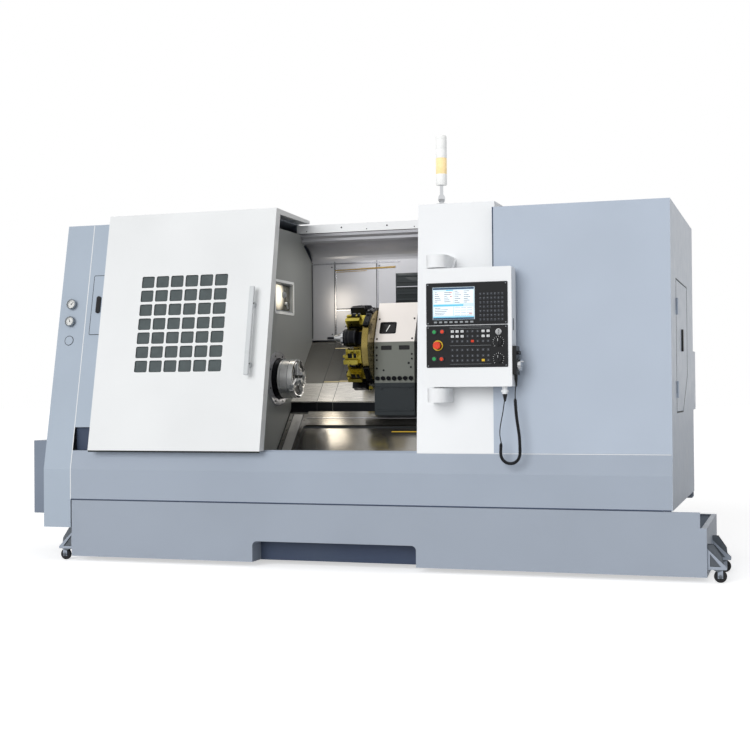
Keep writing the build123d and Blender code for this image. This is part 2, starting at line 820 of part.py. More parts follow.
# Turret's index box with its sloping face, window, slots and row of cap screws
turret_y, turret_z = slant(turret_reach, turret_out)
box_break_z = spindle_z + 192.0
with BuildPart() as turret_box:
    prism(slide_x, slide_x + slide_length, [
        (slide_front_y, slide_shelf_z + seat_gap),
        (spindle_y + 148.0, slide_shelf_z + seat_gap),
        (slide_back_y - 5.0, at_level(slide_back_y - 5.0, slide_top) + seat_gap),
        (y_front + 700.0, spindle_z + 346.0),
        (y_front + 640.0, spindle_z + 406.0),
        (y_front + 500.0, spindle_z + 406.0),
        (slide_front_y, box_break_z),
    ])
    face_lean = math.degrees(math.atan2(100.0, 214.0))
    a = math.radians(face_lean)
    slope_plane = Plane((slide_x + slide_length / 2, y_front + 432.0, box_break_z + 68.5),
                        x_dir=(1, 0, 0), z_dir=(0, -math.cos(a), math.sin(a)))
    with BuildSketch(slope_plane) as view_window:
        with Locations((-44.0, 8.0)):
            RectangleRounded(86.0, 64.0, 8.0)
    extrude(view_window.sketch, amount=-5.0, mode=Mode.SUBTRACT)
    lower_face = front_plane(slide_x + slide_length / 2, slide_front_y, box_break_z)
    with BuildSketch(lower_face) as slots:
        with Locations((-44.0, -32.0), (56.0, -32.0)):
            RectangleRounded(60.0, 24.0, 3.0)
        with Locations((-98.0, -30.0), (80.0, -115.0)):
            Circle(7.0)
    extrude(slots.sketch, amount=-6.0, mode=Mode.SUBTRACT)
    with BuildSketch(front_plane(slide_x + slide_length / 2, slide_front_y, slide_shelf_z + 24.0)) as caps:
        with GridLocations(31.0, 1.0, 7, 1):
            Circle(11.0)
    extrude(caps.sketch, amount=10.0)
pieces["turret_box"] = turret_box

# Twelve sided turret disc
disc_x = slide_x - disc_thick - 3.0
with BuildPart() as turret_disc:
    with BuildSketch(across(disc_x, turret_y, turret_z)) as disc_profile:
        RegularPolygon(disc_radius, disc_flats, major_radius=False)
    extrude(disc_profile.sketch, amount=disc_thick)
    round_bar(across(disc_x + disc_thick - disc_rim_thick, turret_y, turret_z), disc_rim_radius,
              disc_rim_thick)
    chamfer(turret_disc.edges().filter_by(GeomType.CIRCLE).group_by(SortBy.RADIUS)[-1], 2.0)
    round_bar(across(disc_x + disc_thick, turret_y, turret_z), 70.0, 2.7)
    round_bar(across(disc_x, turret_y, turret_z), 62.0, -12.0)
    with BuildSketch(across(disc_x, turret_y, turret_z)) as disc_screws:
        with PolarLocations(100.0, disc_flats):
            Circle(7.0)
    extrude(disc_screws.sketch, amount=8.0, mode=Mode.SUBTRACT)
pieces["turret_disc"] = turret_disc

# Tool holders round the disc, black and yellow, each seated on a flat
holder_width = 72.0
holder_length = 92.0
holder_height = holder_radius - disc_radius - seat_gap
holder_right = disc_x + disc_thick - disc_rim_thick - 1.0
disc_overlap = holder_right - disc_x
black_stations = (1, 3, 5, 7, 8, 10)
yellow_stations = (0, 2, 4, 6, 9, 11)
boring_stations = (3, 5, 10)
barrel_radius = 47.0
barrel_length = 70.0
foot_length = 42.0
foot_height = 22.0
shoulder_height = 44.0
rib_set_back = 14.0
barrel_set_back = 24.0
nut_radius = 36.0
nut_width = 16.0
nose_radius_small = 16.0
nose_length = 42.0
bar_radius = 7.0
bar_length = 42.0


def station_plane(number):
    """A plane on a flat of the disc: x along the spindle, its normal outwards."""
    a = math.radians(180.0 + bed_deg + number * 360.0 / disc_flats)
    reach = disc_radius + seat_gap
    origin = (holder_right, turret_y + reach * math.cos(a), turret_z + reach * math.sin(a))
    return Plane(origin, x_dir=(1, 0, 0), z_dir=(0, math.cos(a), math.sin(a)))


def seat_block(plane, length, width, x, y, height, mode=Mode.ADD):
    """A block on a station: its right end at x from the holder's right end, centred on y."""
    with BuildSketch(plane) as outline:
        with Locations((x - length / 2, y)):
            Rectangle(length, width)
    extrude(outline.sketch, amount=height, mode=mode)


def boring_holder(number):
    """A round holder for a bar that points at the chuck: foot, barrel, clamping nut, cone and bar."""
    plane = station_plane(number)
    seat_block(plane, foot_length, holder_width - 4.0, 0, 0, foot_height)
    height = holder_height - barrel_radius
    barrel = Plane(plane.origin + plane.x_dir * -barrel_set_back + plane.z_dir * height, x_dir=plane.y_dir,
                   z_dir=(-1, 0, 0))
    round_bar(barrel, barrel_radius, barrel_length)
    round_bar(barrel.offset(barrel_length), nut_radius, nut_width)
    with BuildSketch(barrel.offset(barrel_length + nut_width)) as cone_start:
        Circle(nut_radius - 8.0)
    with BuildSketch(barrel.offset(barrel_length + nut_width + nose_length)) as cone_end:
        Circle(nose_radius_small)
    loft([cone_start.sketch, cone_end.sketch])
    round_bar(barrel.offset(barrel_length + nut_width + nose_length), bar_radius, bar_length)
    # Flat where the barrel seats on the disc
    seat_block(plane.offset(-barrel_radius), disc_overlap + seat_gap, 2 * barrel_radius, 0, 0,
               barrel_radius, Mode.SUBTRACT)


def turning_holder(number):
    """A square shank holder with its tool, a clamping wedge and screws on its top and left end."""
    plane = station_plane(number)
    seat_block(plane, holder_length, holder_width, 0, 0, shoulder_height)
    rib_length = holder_length - rib_set_back
    seat_block(plane, rib_length, holder_width - 22.0, -rib_set_back, -11.0, holder_height)
    seat_block(plane.offset(shoulder_height), rib_length, 14.0, -rib_set_back, -6.0,
               holder_height - shoulder_height, Mode.SUBTRACT)
    seat_block(plane.offset(20.0), 22.0, 24.0, -holder_length + 22.0, 24.0, 24.0, Mode.SUBTRACT)
    with BuildSketch(plane.offset(shoulder_height)) as screws:
        with Locations((-28.0, 25.0), (-54.0, 25.0)):
            Circle(6.0)
    extrude(screws.sketch, amount=6.0)


with BuildPart() as holders_black:
    for station in black_stations:
        if station in boring_stations:
            boring_holder(station)
        else:
            turning_holder(station)
pieces["holders_black"] = holders_black

with BuildPart() as holders_yellow:
    for station in yellow_stations:
        turning_holder(station)
pieces["holders_yellow"] = holders_yellow

# Tailstock body and its quill with a centre
with BuildPart() as tailstock:
    prism(tail_x, tail_x + tail_length, [
        slant(22.0, -way_drop + carriage_gap),
        slant(upper_way[1], -way_drop + carriage_gap),
        slant(upper_way[1], -way_drop + 36.0),
        slant(330.0, -way_drop + 64.0),
        slant(105.0, -20.0),
        slant(-85.0, -20.0),
        slant(-40.0, -way_drop + 60.0),
    ])
    round_bar(across(tail_x, spindle_y, spindle_z), 96.0, tail_length)
    round_bar(across(tail_x - 1, spindle_y, spindle_z), quill_radius + running_gap, quill_length + 11.0,
              Mode.SUBTRACT)
pieces["tailstock"] = tailstock

with BuildPart() as tailstock_quill:
    quill_out = 10.0
    turned(tail_x - 80.0, spindle_y, spindle_z, [
        (0, 2.0),
        (38.0, 24.0),
        (38.0, 32.0),
        (80.0 - quill_out, 32.0),
        (80.0 - quill_out, quill_radius),
        (80.0 + quill_length, quill_radius),
    ])
pieces["tailstock_quill"] = tailstock_quill

# The fixed way cover, and the lower apron plates that shed chips, with bolted strips at the left
apron_low_y = y_front + 300.0
strip_x = wall_x + seat_gap + 2.0
strip_width = 22.0
strip_thick = 2.0
apron_step = 14.0
with BuildPart() as apron_plates:
    cover_plate(wall_x + seat_gap, cover_fixed_right, 2)
    apron_right = column_x + 60.0
    left_plate = strip_x + 110.0
    bent(left_plate, apron_right, [
        (apron_low_y, on_apron(apron_low_y) - 14.0),
        (apron_low_y, on_apron(apron_low_y)),
        (y_front + 468.0, on_apron(y_front + 468.0)),
    ], -sheet)
    # Upper plate, one step out, with its lip and the leg that stands on the bed
    upper_out = -apron_drop + apron_step / math.sqrt(2)
    bent(left_plate, apron_right, [
        (y_front + 452.0, on_apron(y_front + 452.0) + 8.0),
        (y_front + 446.0, on_apron(y_front + 446.0) + apron_step),
        slant(0, upper_out),
        slant(0, -way_seat + seat_gap),
    ], -sheet)
    # Left plate with its two bolted edge strips
    bent(strip_x, left_plate - seat_gap, [
        (apron_low_y, on_apron(apron_low_y) - 14.0),
        (apron_low_y, on_apron(apron_low_y)),
        slant(-6.0, -apron_drop),
    ], -sheet)
    for sx in (strip_x + 1.0, left_plate - strip_width - 4.0):
        strip_low = (apron_low_y - spindle_y) * math.sqrt(2) - apron_drop
        prism(sx, sx + strip_width, [
            slant(strip_low + 8.0, -apron_drop),
            slant(-8.0, -apron_drop),
            slant(-8.0, -apron_drop + strip_thick),
            slant(strip_low + 8.0, -apron_drop + strip_thick),
        ])
        for i in range(4):
            head_y, head_z = slant(strip_low + 40.0 + i * 75.0, -apron_drop + strip_thick)
            head = Plane((sx + strip_width / 2, head_y, head_z), x_dir=(1, 0, 0), z_dir=(0, -1, 1))
            round_bar(head, 6.0, 3.0)
    # Brackets down to the bed
    for bx in (strip_x + 20.0, strip_x + 300.0, strip_x + 600.0):
        prism(bx, bx + 12.0, [
            slant(-102.0, -way_seat + seat_gap),
            slant(-60.0, -way_seat + seat_gap),
            slant(-60.0, -apron_drop - sheet - seat_gap),
            slant(-102.0, -apron_drop - sheet - seat_gap),
        ])
pieces["apron_plates"] = apron_plates

# White column beside the door opening, its roof, the roof beam and the pendant's two brackets
boss_x = pendant_x + pivot_inset
with BuildPart() as column:
    column_front = [
        (guard_y(sill_z), sill_z),
        (y_front + 85.0, column_top),
        (y_front + column_depth, column_top),
        (y_front + column_depth, sill_z),
    ]
    prism(column_x, housing_x, column_front)
    prism(column_x + sheet, housing_x - sheet, [
        (guard_y(sill_z) + sheet, sill_z - 1),
        (y_front + 85.0 + sheet, column_top - sheet),
        (y_front + column_depth + 1, column_top - sheet),
        (y_front + column_depth + 1, sill_z - 1),
    ], Mode.SUBTRACT)
    block(column_x, housing_x, y_front + column_depth, fascia_y + 90.0, column_top - sheet, column_top)
    # Beam across the back of the roof opening, which the door's roof runs on
    bent(wall_x - 20.0, column_x - seam_gap, [
        (fascia_y + 60.0, fascia_bottom + 10.0),
        (fascia_y + 34.0, fascia_bottom + 4.5),
        (fascia_y, fascia_bottom + 4.5),
        (fascia_y, body_top - sheet - 0.5),
        (fascia_y + 90.0, body_top - sheet - 0.5),
        (fascia_y + 90.0, body_top - 30.0),
    ], -fascia_sheet)
    # Pivot brackets above and below the pendant
    column_slope = (y_front + 85.0 - guard_y(sill_z)) / (column_top - sill_z)
    for low, high, rib in ((pendant_top + seat_gap + 6.0, pendant_top + 70.0, True),
                           (pendant_bottom - 76.0, pendant_bottom - seat_gap - 6.0, False)):
        face_y = guard_y(sill_z) + column_slope * (low - sill_z)
        with BuildSketch(Plane.XY.offset(low)) as boss:
            with BuildLine():
                Polyline((boss_x - boss_radius, pivot_y), (boss_x - boss_radius, face_y + 8.0),
                         (boss_x + boss_radius, face_y + 8.0), (boss_x + boss_radius, pivot_y))
                ThreePointArc((boss_x + boss_radius, pivot_y), (boss_x, pivot_y - boss_radius),
                              (boss_x - boss_radius, pivot_y))
            make_face()
        extrude(boss.sketch, amount=high - low)
        if rib:
            prism(boss_x + boss_radius, boss_x + boss_radius + 12.0, [
                (face_y - 4.0, low), (face_y + 8.0, low), (face_y + 8.0, high), (face_y - 60.0, low),
            ])
pieces["column"] = column

# Signal tower: flange and pole, then the light tube
tower_x = seam_x + 2070.0
tower_y = y_front + 130.0
pole_top = 1950.0
with BuildPart() as signal_tower:
    base = Plane((tower_x, tower_y, column_top))
    round_bar(base, 31.0, 9.0)
    round_bar(base.offset(9.0), 26.0, 10.0)
    round_bar(base.offset(19.0), 12.5, pole_top - column_top - 19.0)
    with BuildSketch(front_plane(tower_x, tower_y, pole_top)) as tube_profile:
        with BuildLine():
            tube_height = tower_top - pole_top
            Polyline((0, 0), (20.0, 0), (28.0, 10.0), (28.0, tube_height - 8.0),
                     (22.0, tube_height), (0, tube_height), close=True)
        make_face()
    revolve(tube_profile.sketch, axis=Axis((tower_x, tower_y, 0), (0, 0, 1)))
pieces["signal_tower"] = signal_tower

# Right housing: front, roof and right side in one folded casing, with a door opening in the side
door_front_y = y_front + 290.0
door_back_y = y_front + 915.0
door_low_z = 796.0
door_notch_z = 985.0
door_notch_y = y_front + 640.0
door_high_z = 1445.0
edge_gap = 3.0
barrel_r = 5.0
barrel_long = 60.0
knuckle_long = 22.0
hinge_pin_r = 2.5
hinge_x = x_right + barrel_r + seat_gap
hinge_y = door_front_y - 5.0
barrel_heights = (door_low_z + 90.0, door_high_z - 150.0)
side_door = [
    (door_front_y, door_low_z),
    (door_notch_y, door_low_z),
    (door_back_y, door_notch_z),
    (door_back_y, door_high_z),
    (door_front_y, door_high_z),
]


def grown(outline, amount):
    """The side door's outline moved out all round by a gap."""
    with BuildSketch(Plane.YZ, mode=Mode.PRIVATE) as shape:
        with BuildLine():
            Polyline(*outline, close=True)
        make_face()
        offset(amount=amount, kind=Kind.INTERSECTION)
    return shape.sketch


with BuildPart() as right_housing:
    front_y = guard_y(sill_z)
    prism(housing_x + seam_gap, x_right, [
        (y_front, skirt_bottom),
        (y_front, bevel_z),
        (front_y, sill_z),
        (front_y, housing_top),
        (y_back, housing_top),
        (y_back, skirt_bottom),
    ])
    prism(housing_x, x_right - sheet, [
        (front_y + sheet, skirt_bottom - 1),
        (front_y + sheet, housing_top - sheet),
        (y_back + 1, housing_top - sheet),
        (y_back + 1, skirt_bottom - 1),
    ], Mode.SUBTRACT)
    # The skirt's own space under the front
    prism(housing_x, x_right - sheet, [
        (y_front - 1, skirt_bottom - 1),
        (y_front - 1, sill_z + seat_gap),
        (y_front + sill_depth + 1, sill_z + seat_gap),
        (y_front + sill_depth + 1, skirt_bottom - 1),
    ], Mode.SUBTRACT)
    opening = grown(side_door, edge_gap)
    extrude(opening.moved(Location((x_right - 10.0, 0, 0))), amount=20.0, mode=Mode.SUBTRACT)
    # Fixed knuckles of the side door's hinges, each with its pin
    for barrel_z in barrel_heights:
        knuckle_z = barrel_z - seat_gap - knuckle_long
        knuckle = Plane((hinge_x, hinge_y, knuckle_z))
        round_bar(knuckle, barrel_r, knuckle_long)
        round_bar(knuckle, hinge_pin_r, knuckle_long + seat_gap + barrel_long)
        block(x_right - 1, x_right + 2.0, hinge_y - 18.0, hinge_y, knuckle_z,
              knuckle_z + knuckle_long)
    # Stiffening frame round the opening's back edge, inside
    block(x_right - sheet - 30.0, x_right - sheet, door_back_y + 30.0, door_back_y + 33.0,
          skirt_bottom, housing_top - sheet)
pieces["right_housing"] = right_housing

# Side door with its hinge barrels and recessed black grip
with BuildPart() as access_door:
    prism(x_right - sheet, x_right, side_door)
    block(x_right - sheet - 20.0, x_right - sheet, door_back_y - 40.0, door_back_y - 37.0,
          door_notch_z + 40.0, door_high_z - 40.0)
    for barrel_z in barrel_heights:
        round_bar(Plane((hinge_x, hinge_y, barrel_z)), barrel_r, barrel_long)
        block(x_right, x_right + 2.0, door_front_y, door_front_y + 22.0, barrel_z,
              barrel_z + barrel_long)
        block(x_right + 1.2, x_right + 3.2, hinge_y, door_front_y + 6.0, barrel_z,
              barrel_z + barrel_long)
        round_bar(Plane((hinge_x, hinge_y, barrel_z)), hinge_pin_r + running_gap, barrel_long,
                  Mode.SUBTRACT)
    with BuildSketch(across(x_right, y_front + 590.0, 1156.0)) as grip:
        RectangleRounded(34.0, 110.0, 6.0)
    extrude(grip.sketch, amount=7.0)
    with BuildSketch(across(x_right + 2.0, y_front + 590.0, 1156.0)) as grip_cup:
        RectangleRounded(22.0, 70.0, 4.0)
    extrude(grip_cup.sketch, amount=6.0, mode=Mode.SUBTRACT)
pieces["access_door"] = access_door

# Back panels in three bays, with the middle roof, and the lubrication unit on the right bay
back_low = 300.0
with BuildPart() as rear_guard:
    for x0, x1, top in ((seam_x + seam_gap, guard_right, body_top - 41.0),
                        (housing_x + seam_gap, x_right - sheet - seam_gap, housing_top - sheet - 0.4)):
        bent(x0, x1, [
            (bed_back_y + seat_gap, back_low),
            (y_back, back_low),
            (y_back, top),
        ])
        for k in range(8):
            vent_z = 900.0 + k * 30.0
            block(x0 + 200.0, x0 + 480.0, y_back - 10.0, y_back + 1, vent_z, vent_z + 9.0, Mode.SUBTRACT)
    bent(guard_right + seam_gap, housing_x - seam_gap, [
        (bed_back_y + seat_gap, back_low),
        (y_back, back_low),
        (y_back, body_top - 20.0),
        (fascia_y + 92.5, body_top - 20.0),
        (fascia_y + 92.5, body_top - 50.0),
    ])
    # Lubrication unit
    lube_x = x_right - 204.0
    block(lube_x, x_right, y_back + seat_gap, y_back + rear_reach, 790.0, 1120.0)
pieces["rear_guard"] = rear_guard

# Electric rack inside the right housing: a mounting plate with drive modules
rack_x = housing_x + 150.0
rack_plate_y = y_front + 1290.0
module_width = 90.0
module_gap = 14.0
with BuildPart() as electric_rack:
    block(rack_x, rack_x + 640.0, rack_plate_y, rack_plate_y + sheet, 1190.0, 1720.0)
    for k in range(2):
        for i in range(6):
            mx = rack_x + 10.0 + i * (module_width + module_gap)
            mz = 1470.0 - k * 260.0
            block(mx, mx + module_width, rack_plate_y - 190.0, rack_plate_y, mz, mz + 230.0)
            block(mx + 12.0, mx + module_width - 12.0, rack_plate_y - 196.0, rack_plate_y - 190.0,
                  mz + 40.0, mz + 120.0)
    # Stand-offs that carry the plate on the back panel
    for sx in (rack_x + 20.0, rack_x + 600.0):
        for sz in (1200.0, 1690.0):
            block(sx, sx + 20.0, rack_plate_y + sheet, y_back - sheet - seat_gap, sz, sz + 20.0)
pieces["electric_rack"] = electric_rack

# Work door: a deep folded tray with a roof that slides over the guard, pierced by the window
door_right = door_left + door_width
door_inner_top = body_top + 6.0


def door_plane(x, z, proud=0.0):
    """A plane on the door's leaning outer face, its normal pointing out to the front."""
    a = math.radians(lean_deg)
    origin = (x, door_y(z) - proud * math.cos(a), z + proud * math.sin(a))
    return Plane(origin, x_dir=(1, 0, 0), z_dir=(0, -math.cos(a), math.sin(a)))


def door_inner_y(z):
    """The inner side of the door's face sheet at a height."""
    return door_y(z) + sheet / math.cos(math.radians(lean_deg))


with BuildPart() as door_panel:
    face_back = guard_y(door_bottom) - door_gap
    prism(door_left, door_right, [
        (door_y(door_bottom), door_bottom),
        (door_y(door_top), door_top),
        (door_roof_y, door_top - 12.0),
        (door_roof_y, door_inner_top),
        (guard_y(door_inner_top) - door_gap, door_inner_top),
        (face_back, door_bottom),
    ])
    prism(door_left + sheet, door_right - sheet, [
        (door_inner_y(door_bottom + sheet), door_bottom + sheet),
        (door_inner_y(door_top - 1.2 * sheet), door_top - 1.2 * sheet),
        (door_roof_y - sheet, door_top - 12.0 - sheet),
        (door_roof_y - sheet, door_inner_top - 1),
        (guard_y(door_inner_top - 1) + 10.0, door_inner_top - 1),
        (face_back + 10.0, door_bottom + sheet),
    ], Mode.SUBTRACT)
    # Window of round cornered holes in columns and rows
    pitch_x = hole_width + hole_bar
    pitch_z = (hole_height + hole_bar) / math.cos(math.radians(lean_deg))
    window_mid_x = window_left + (window_columns * pitch_x - hole_bar) / 2
    window_mid_z = window_bottom_z + (window_rows * (hole_height + hole_bar) - hole_bar) / 2
    with BuildSketch(door_plane(window_mid_x, window_mid_z)) as window:
        with GridLocations(pitch_x, pitch_z, window_columns, window_rows):
            RectangleRounded(hole_width, hole_height, 9.0)
    extrude(window.sketch, amount=-2 * sheet, mode=Mode.SUBTRACT)
    # Feet that ride the sill on both sides of the rib
    rib_mid = rail_y + rail_width / 2
    for fx in (door_left + 60.0, door_right - 160.0):
        block(fx, fx + 100.0, y_front + 24.0, y_front + 58.0, sill_z + seat_gap, sill_z + 40.0)
        groove = rail_width / 2 + seat_gap
        block(fx - 1, fx + 101.0, rib_mid - groove, rib_mid + groove, sill_z,
              sill_z + rail_height + seat_gap, Mode.SUBTRACT)
        block(fx, fx + 100.0, door_y(640.0) + 1.0, y_front + 30.0, sill_z + 24.0, sill_z + 40.0)
pieces["door_panel"] = door_panel

# Dark safety glass behind the window, seated on the door's inner face
glass_thick = 6.0
glass_margin = 26.0
with BuildPart() as door_glass:
    with BuildSketch(door_plane(window_mid_x, window_mid_z, -sheet - seat_gap)) as pane:
        RectangleRounded(window_columns * pitch_x - hole_bar + 2 * glass_margin,
                         window_rows * pitch_z - hole_bar + 2 * glass_margin, 14.0)
    extrude(pane.sketch, amount=-glass_thick)
pieces["door_glass"] = door_glass

# White bar handle on two stand-offs
with BuildPart() as door_handle:
    handle_mid = (handle_low_z + handle_high_z) / 2
    handle_length = (handle_high_z - handle_low_z) / math.cos(math.radians(lean_deg))
    bar_plane = door_plane(handle_x, handle_mid, handle_standoff)
    along_bar = Plane(bar_plane.origin, x_dir=(1, 0, 0), z_dir=bar_plane.y_dir)
    round_bar(along_bar.offset(-handle_length / 2), handle_radius, handle_length)
    for post_z in (1049.0, 1368.0):
        round_bar(door_plane(handle_x, post_z, seat_gap), 15.0, 6.0)
        round_bar(door_plane(handle_x, post_z, seat_gap), 9.0, handle_standoff)
pieces["door_handle"] = door_handle

cord_y = y_front - 60.0

# Pendant: a box on two pivots, with cut-outs that the control unit and the operator panel sit in
pendant_back_y = pendant_front_y + pendant_depth
unit_depth = 70.0
pocket = unit_depth + 2.0
with BuildPart() as pendant_box:
    block(pendant_x, pendant_x + pendant_width, pendant_front_y, pendant_back_y, pendant_bottom,
          pendant_top)
    corner_edges = pendant_box.edges().filter_by(Axis.Y)
    fillet(corner_edges, 6.0)
    for low, height in ((unit_bottom, unit_height), (operator_bottom, operator_height)):
        block(panel_x + 8.0, panel_x + panel_width - 8.0, pendant_front_y - 1, pendant_front_y + pocket,
              low + 8.0, low + height - 8.0, Mode.SUBTRACT)
    # Pivot spigots and the cable gland under the box
    boss_centre = Plane((boss_x, pivot_y, pendant_top))
    round_bar(boss_centre, 18.0, 6.0)
    round_bar(Plane((boss_x, pivot_y, pendant_bottom - 6.0)), 18.0, 6.0)
    gland = Plane((seam_x + 2429.0, cord_y, pendant_bottom - 36.0))
    round_bar(gland, 13.0, 36.0)
    round_bar(gland.offset(8.0), 18.0, 12.0)
    # Card slot on the right side
    block(pendant_x + pendant_width - 4.0, pendant_x + pendant_width + 1, pendant_front_y + 30.0,
          pendant_front_y + 44.0, 1196.0, 1256.0, Mode.SUBTRACT)
pieces["pendant_box"] = pendant_box

# Control unit with its screen, soft keys and a field of keys
screen_x = seam_x + 2085.3
screen_low = 1253.2
screen_width = 211.2
screen_height = 158.4
key_left = seam_x + 2325.0
key_top = 1374.0
key_pitch_x = 18.0
key_pitch_z = 20.7
unit_face_y = pendant_front_y - panel_proud
with BuildPart() as control_unit:
    unit_plane = front_plane(panel_x + panel_width / 2, pendant_front_y - seat_gap,
                             unit_bottom + unit_height / 2)
    with BuildSketch(unit_plane) as unit_face:
        RectangleRounded(panel_width, unit_height, 4.0)
    extrude(unit_face.sketch, amount=panel_proud - seat_gap)
    block(panel_x + 12.0, panel_x + panel_width - 12.0, pendant_front_y - seat_gap - 0.5,
          pendant_front_y + unit_depth, unit_bottom + 12.0, unit_bottom + unit_height - 12.0)
    block(screen_x, screen_x + screen_width, unit_face_y - 1, unit_face_y + 2.0, screen_low,
          screen_low + screen_height, Mode.SUBTRACT)
    with BuildSketch(front_plane(key_left, unit_face_y, key_top)) as key_field:
        for column_number in range(7):
            for row_number in range(7):
                with Locations((column_number * key_pitch_x, -row_number * key_pitch_z)):
                    Rectangle(13.0, 14.0)
    extrude(key_field.sketch, amount=1.2)
    with BuildSketch(front_plane(screen_x + screen_width / 2, unit_face_y, 1241.0)) as soft_keys:
        with GridLocations(26.0, 10.0, 8, 1):
            Rectangle(16.0, 9.0)
    extrude(soft_keys.sketch, amount=1.2)
pieces["control_unit"] = control_unit

# Operator panel: membrane keys, and holes for the buttons, knobs and key switch
button_radius = 9.0
estop_radius = 19.0
knob_radius = 21.0
stem_radius = 7.0
key_columns = (2184.0, 2208.0, 2233.0, 2260.0, 2284.0, 2310.0, 2337.0, 2362.0)
key_rows = (1195.0, 1171.0, 1147.0, 1105.0, 1077.0, 1054.0)
buttons = {
    "cycle_start": (2094.0, 1194.0),
    "feed_hold": (2134.0, 1195.0),
    "power_on": (2093.0, 1063.0),
    "power_off": (2130.0, 1062.0),
}
knobs = {
    "feed_knob": (2412.0, 1141.0),
    "speed_knob": (2412.0, 1060.0),
}
estop_at = (2111.0, 1128.0)
key_switch_at = (2413.0, 1190.0)
panel_face_y = pendant_front_y - panel_proud


def control_plane(at, proud=0.0):
    """A plane on the operator panel's face at a control, given as distances from the seam and floor."""
    return front_plane(seam_x + at[0], panel_face_y - proud, at[1])


with BuildPart() as operator_panel:
    operator_plane = front_plane(panel_x + panel_width / 2, pendant_front_y - seat_gap,
                                 operator_bottom + operator_height / 2)
    with BuildSketch(operator_plane) as operator_face:
        RectangleRounded(panel_width, operator_height, 4.0)
    extrude(operator_face.sketch, amount=panel_proud - seat_gap)
    block(panel_x + 12.0, panel_x + panel_width - 12.0, pendant_front_y - seat_gap - 0.5,
          pendant_front_y + 40.0, operator_bottom + 12.0, operator_bottom + operator_height - 12.0)
    with BuildSketch(front_plane(seam_x, panel_face_y, 0)) as membrane_keys:
        for key_x in key_columns:
            for key_z in key_rows:
                with Locations((key_x, key_z)):
                    Rectangle(15.0, 12.0)
    extrude(membrane_keys.sketch, amount=0.8)
    # Collars of the controls, and the bores their stems run in
    for at in buttons.values():
        round_bar(control_plane(at), button_radius + 4.0, 5.0)
        round_bar(control_plane(at, 6.0), button_radius + button_gap, -22.0, Mode.SUBTRACT)
    round_bar(control_plane(estop_at), 25.0, 2.0)
    round_bar(control_plane(estop_at, 3.0), stem_radius + button_gap, -25.0, Mode.SUBTRACT)
    for at in list(knobs.values()) + [key_switch_at]:
        round_bar(control_plane(at, 1.0), stem_radius + button_gap, -21.0, Mode.SUBTRACT)
pieces["operator_panel"] = operator_panel

# Push buttons: a cap in its collar
for name, at in buttons.items():
    with BuildPart() as button:
        round_bar(control_plane(at, 9.0), button_radius, -20.0)
        fillet(button.edges().sort_by(Axis.Y)[0], 1.5)
    pieces[name] = button

# Emergency stop: a mushroom cap on a stem
with BuildPart() as estop_button:
    cap_depth = y_front - front_reach - panel_face_y
    cap_height = -cap_depth
    round_bar(control_plane(estop_at, cap_height), estop_radius, -12.0)
    fillet(estop_button.edges().sort_by(Axis.Y)[0], 4.0)
    round_bar(control_plane(estop_at, cap_height - 11.0), stem_radius, -28.0)
pieces["estop_button"] = estop_button

# Rotary override knobs with a pointer rib, and the key switch with its key
for name, at in knobs.items():
    with BuildPart() as knob:
        round_bar(control_plane(at, seat_gap), knob_radius, 6.0)
        round_bar(control_plane(at, 6.0), knob_radius - 3.0, 8.0)
        with BuildSketch(control_plane(at, 13.0)) as pointer:
            Rectangle(8.0, 2 * knob_radius - 8.0)
        extrude(pointer.sketch, amount=5.0)
        round_bar(control_plane(at, 1.0), stem_radius, -14.0)
    pieces[name] = knob

with BuildPart() as key_switch:
    round_bar(control_plane(key_switch_at, seat_gap), 12.0, 6.0)
    with BuildSketch(control_plane(key_switch_at, 5.0)) as key_blade:
        Rectangle(2.4, 10.0)
    extrude(key_blade.sketch, amount=7.0)
    with BuildSketch(control_plane(key_switch_at, 12.0)) as key_bow:
        Rectangle(3.0, 20.0)
    extrude(key_bow.sketch, amount=12.0)
    round_bar(control_plane(key_switch_at, 1.0), stem_radius, -14.0)
pieces["key_switch"] = key_switch

# Handwheel unit on the pendant's right side, with its dial
side_x = pendant_x + pendant_width
dial_y = y_front - 70.0
dial_z = 1028.0
dial_radius = 28.0
with BuildPart() as handwheel_unit:
    block(side_x + seat_gap, side_x + 20.0, dial_y - 38.0, dial_y + 38.0, 981.0, 1121.0)
    fillet(handwheel_unit.edges().filter_by(Axis.X), 5.0)
    for knob_y in (dial_y - 17.0, dial_y + 17.0):
        round_bar(across(side_x + 20.0, knob_y, 1088.0), 9.0, 10.0)
    round_bar(across(side_x + 20.0, dial_y, dial_z), dial_radius + 4.0, 1.5)
    round_bar(across(side_x + 8.0, dial_y, dial_z), stem_radius + button_gap, 20.0, Mode.SUBTRACT)
    # Cord outlet at the foot of the unit
    round_bar(Plane((side_x + 8.0, cord_y, 981.0 - 10.0)), 7.5, 11.0)
pieces["handwheel_unit"] = handwheel_unit

with BuildPart() as handwheel_dial:
    round_bar(across(side_x + 21.8, dial_y, dial_z), dial_radius, 16.0)
    fillet(handwheel_dial.edges().sort_by(Axis.X)[-1], 2.0)
    round_bar(across(side_x + 36.0, dial_y, dial_z + 17.0), 4.0, 12.0)
    round_bar(across(side_x + 9.0, dial_y, dial_z), stem_radius, 14.0)
pieces["handwheel_dial"] = handwheel_dial

# Curly cord: a slack coil below the pendant, and a straight lead at each end
coil_radius = 7.0
lead_radius = 3.0
corner_share = 0.45


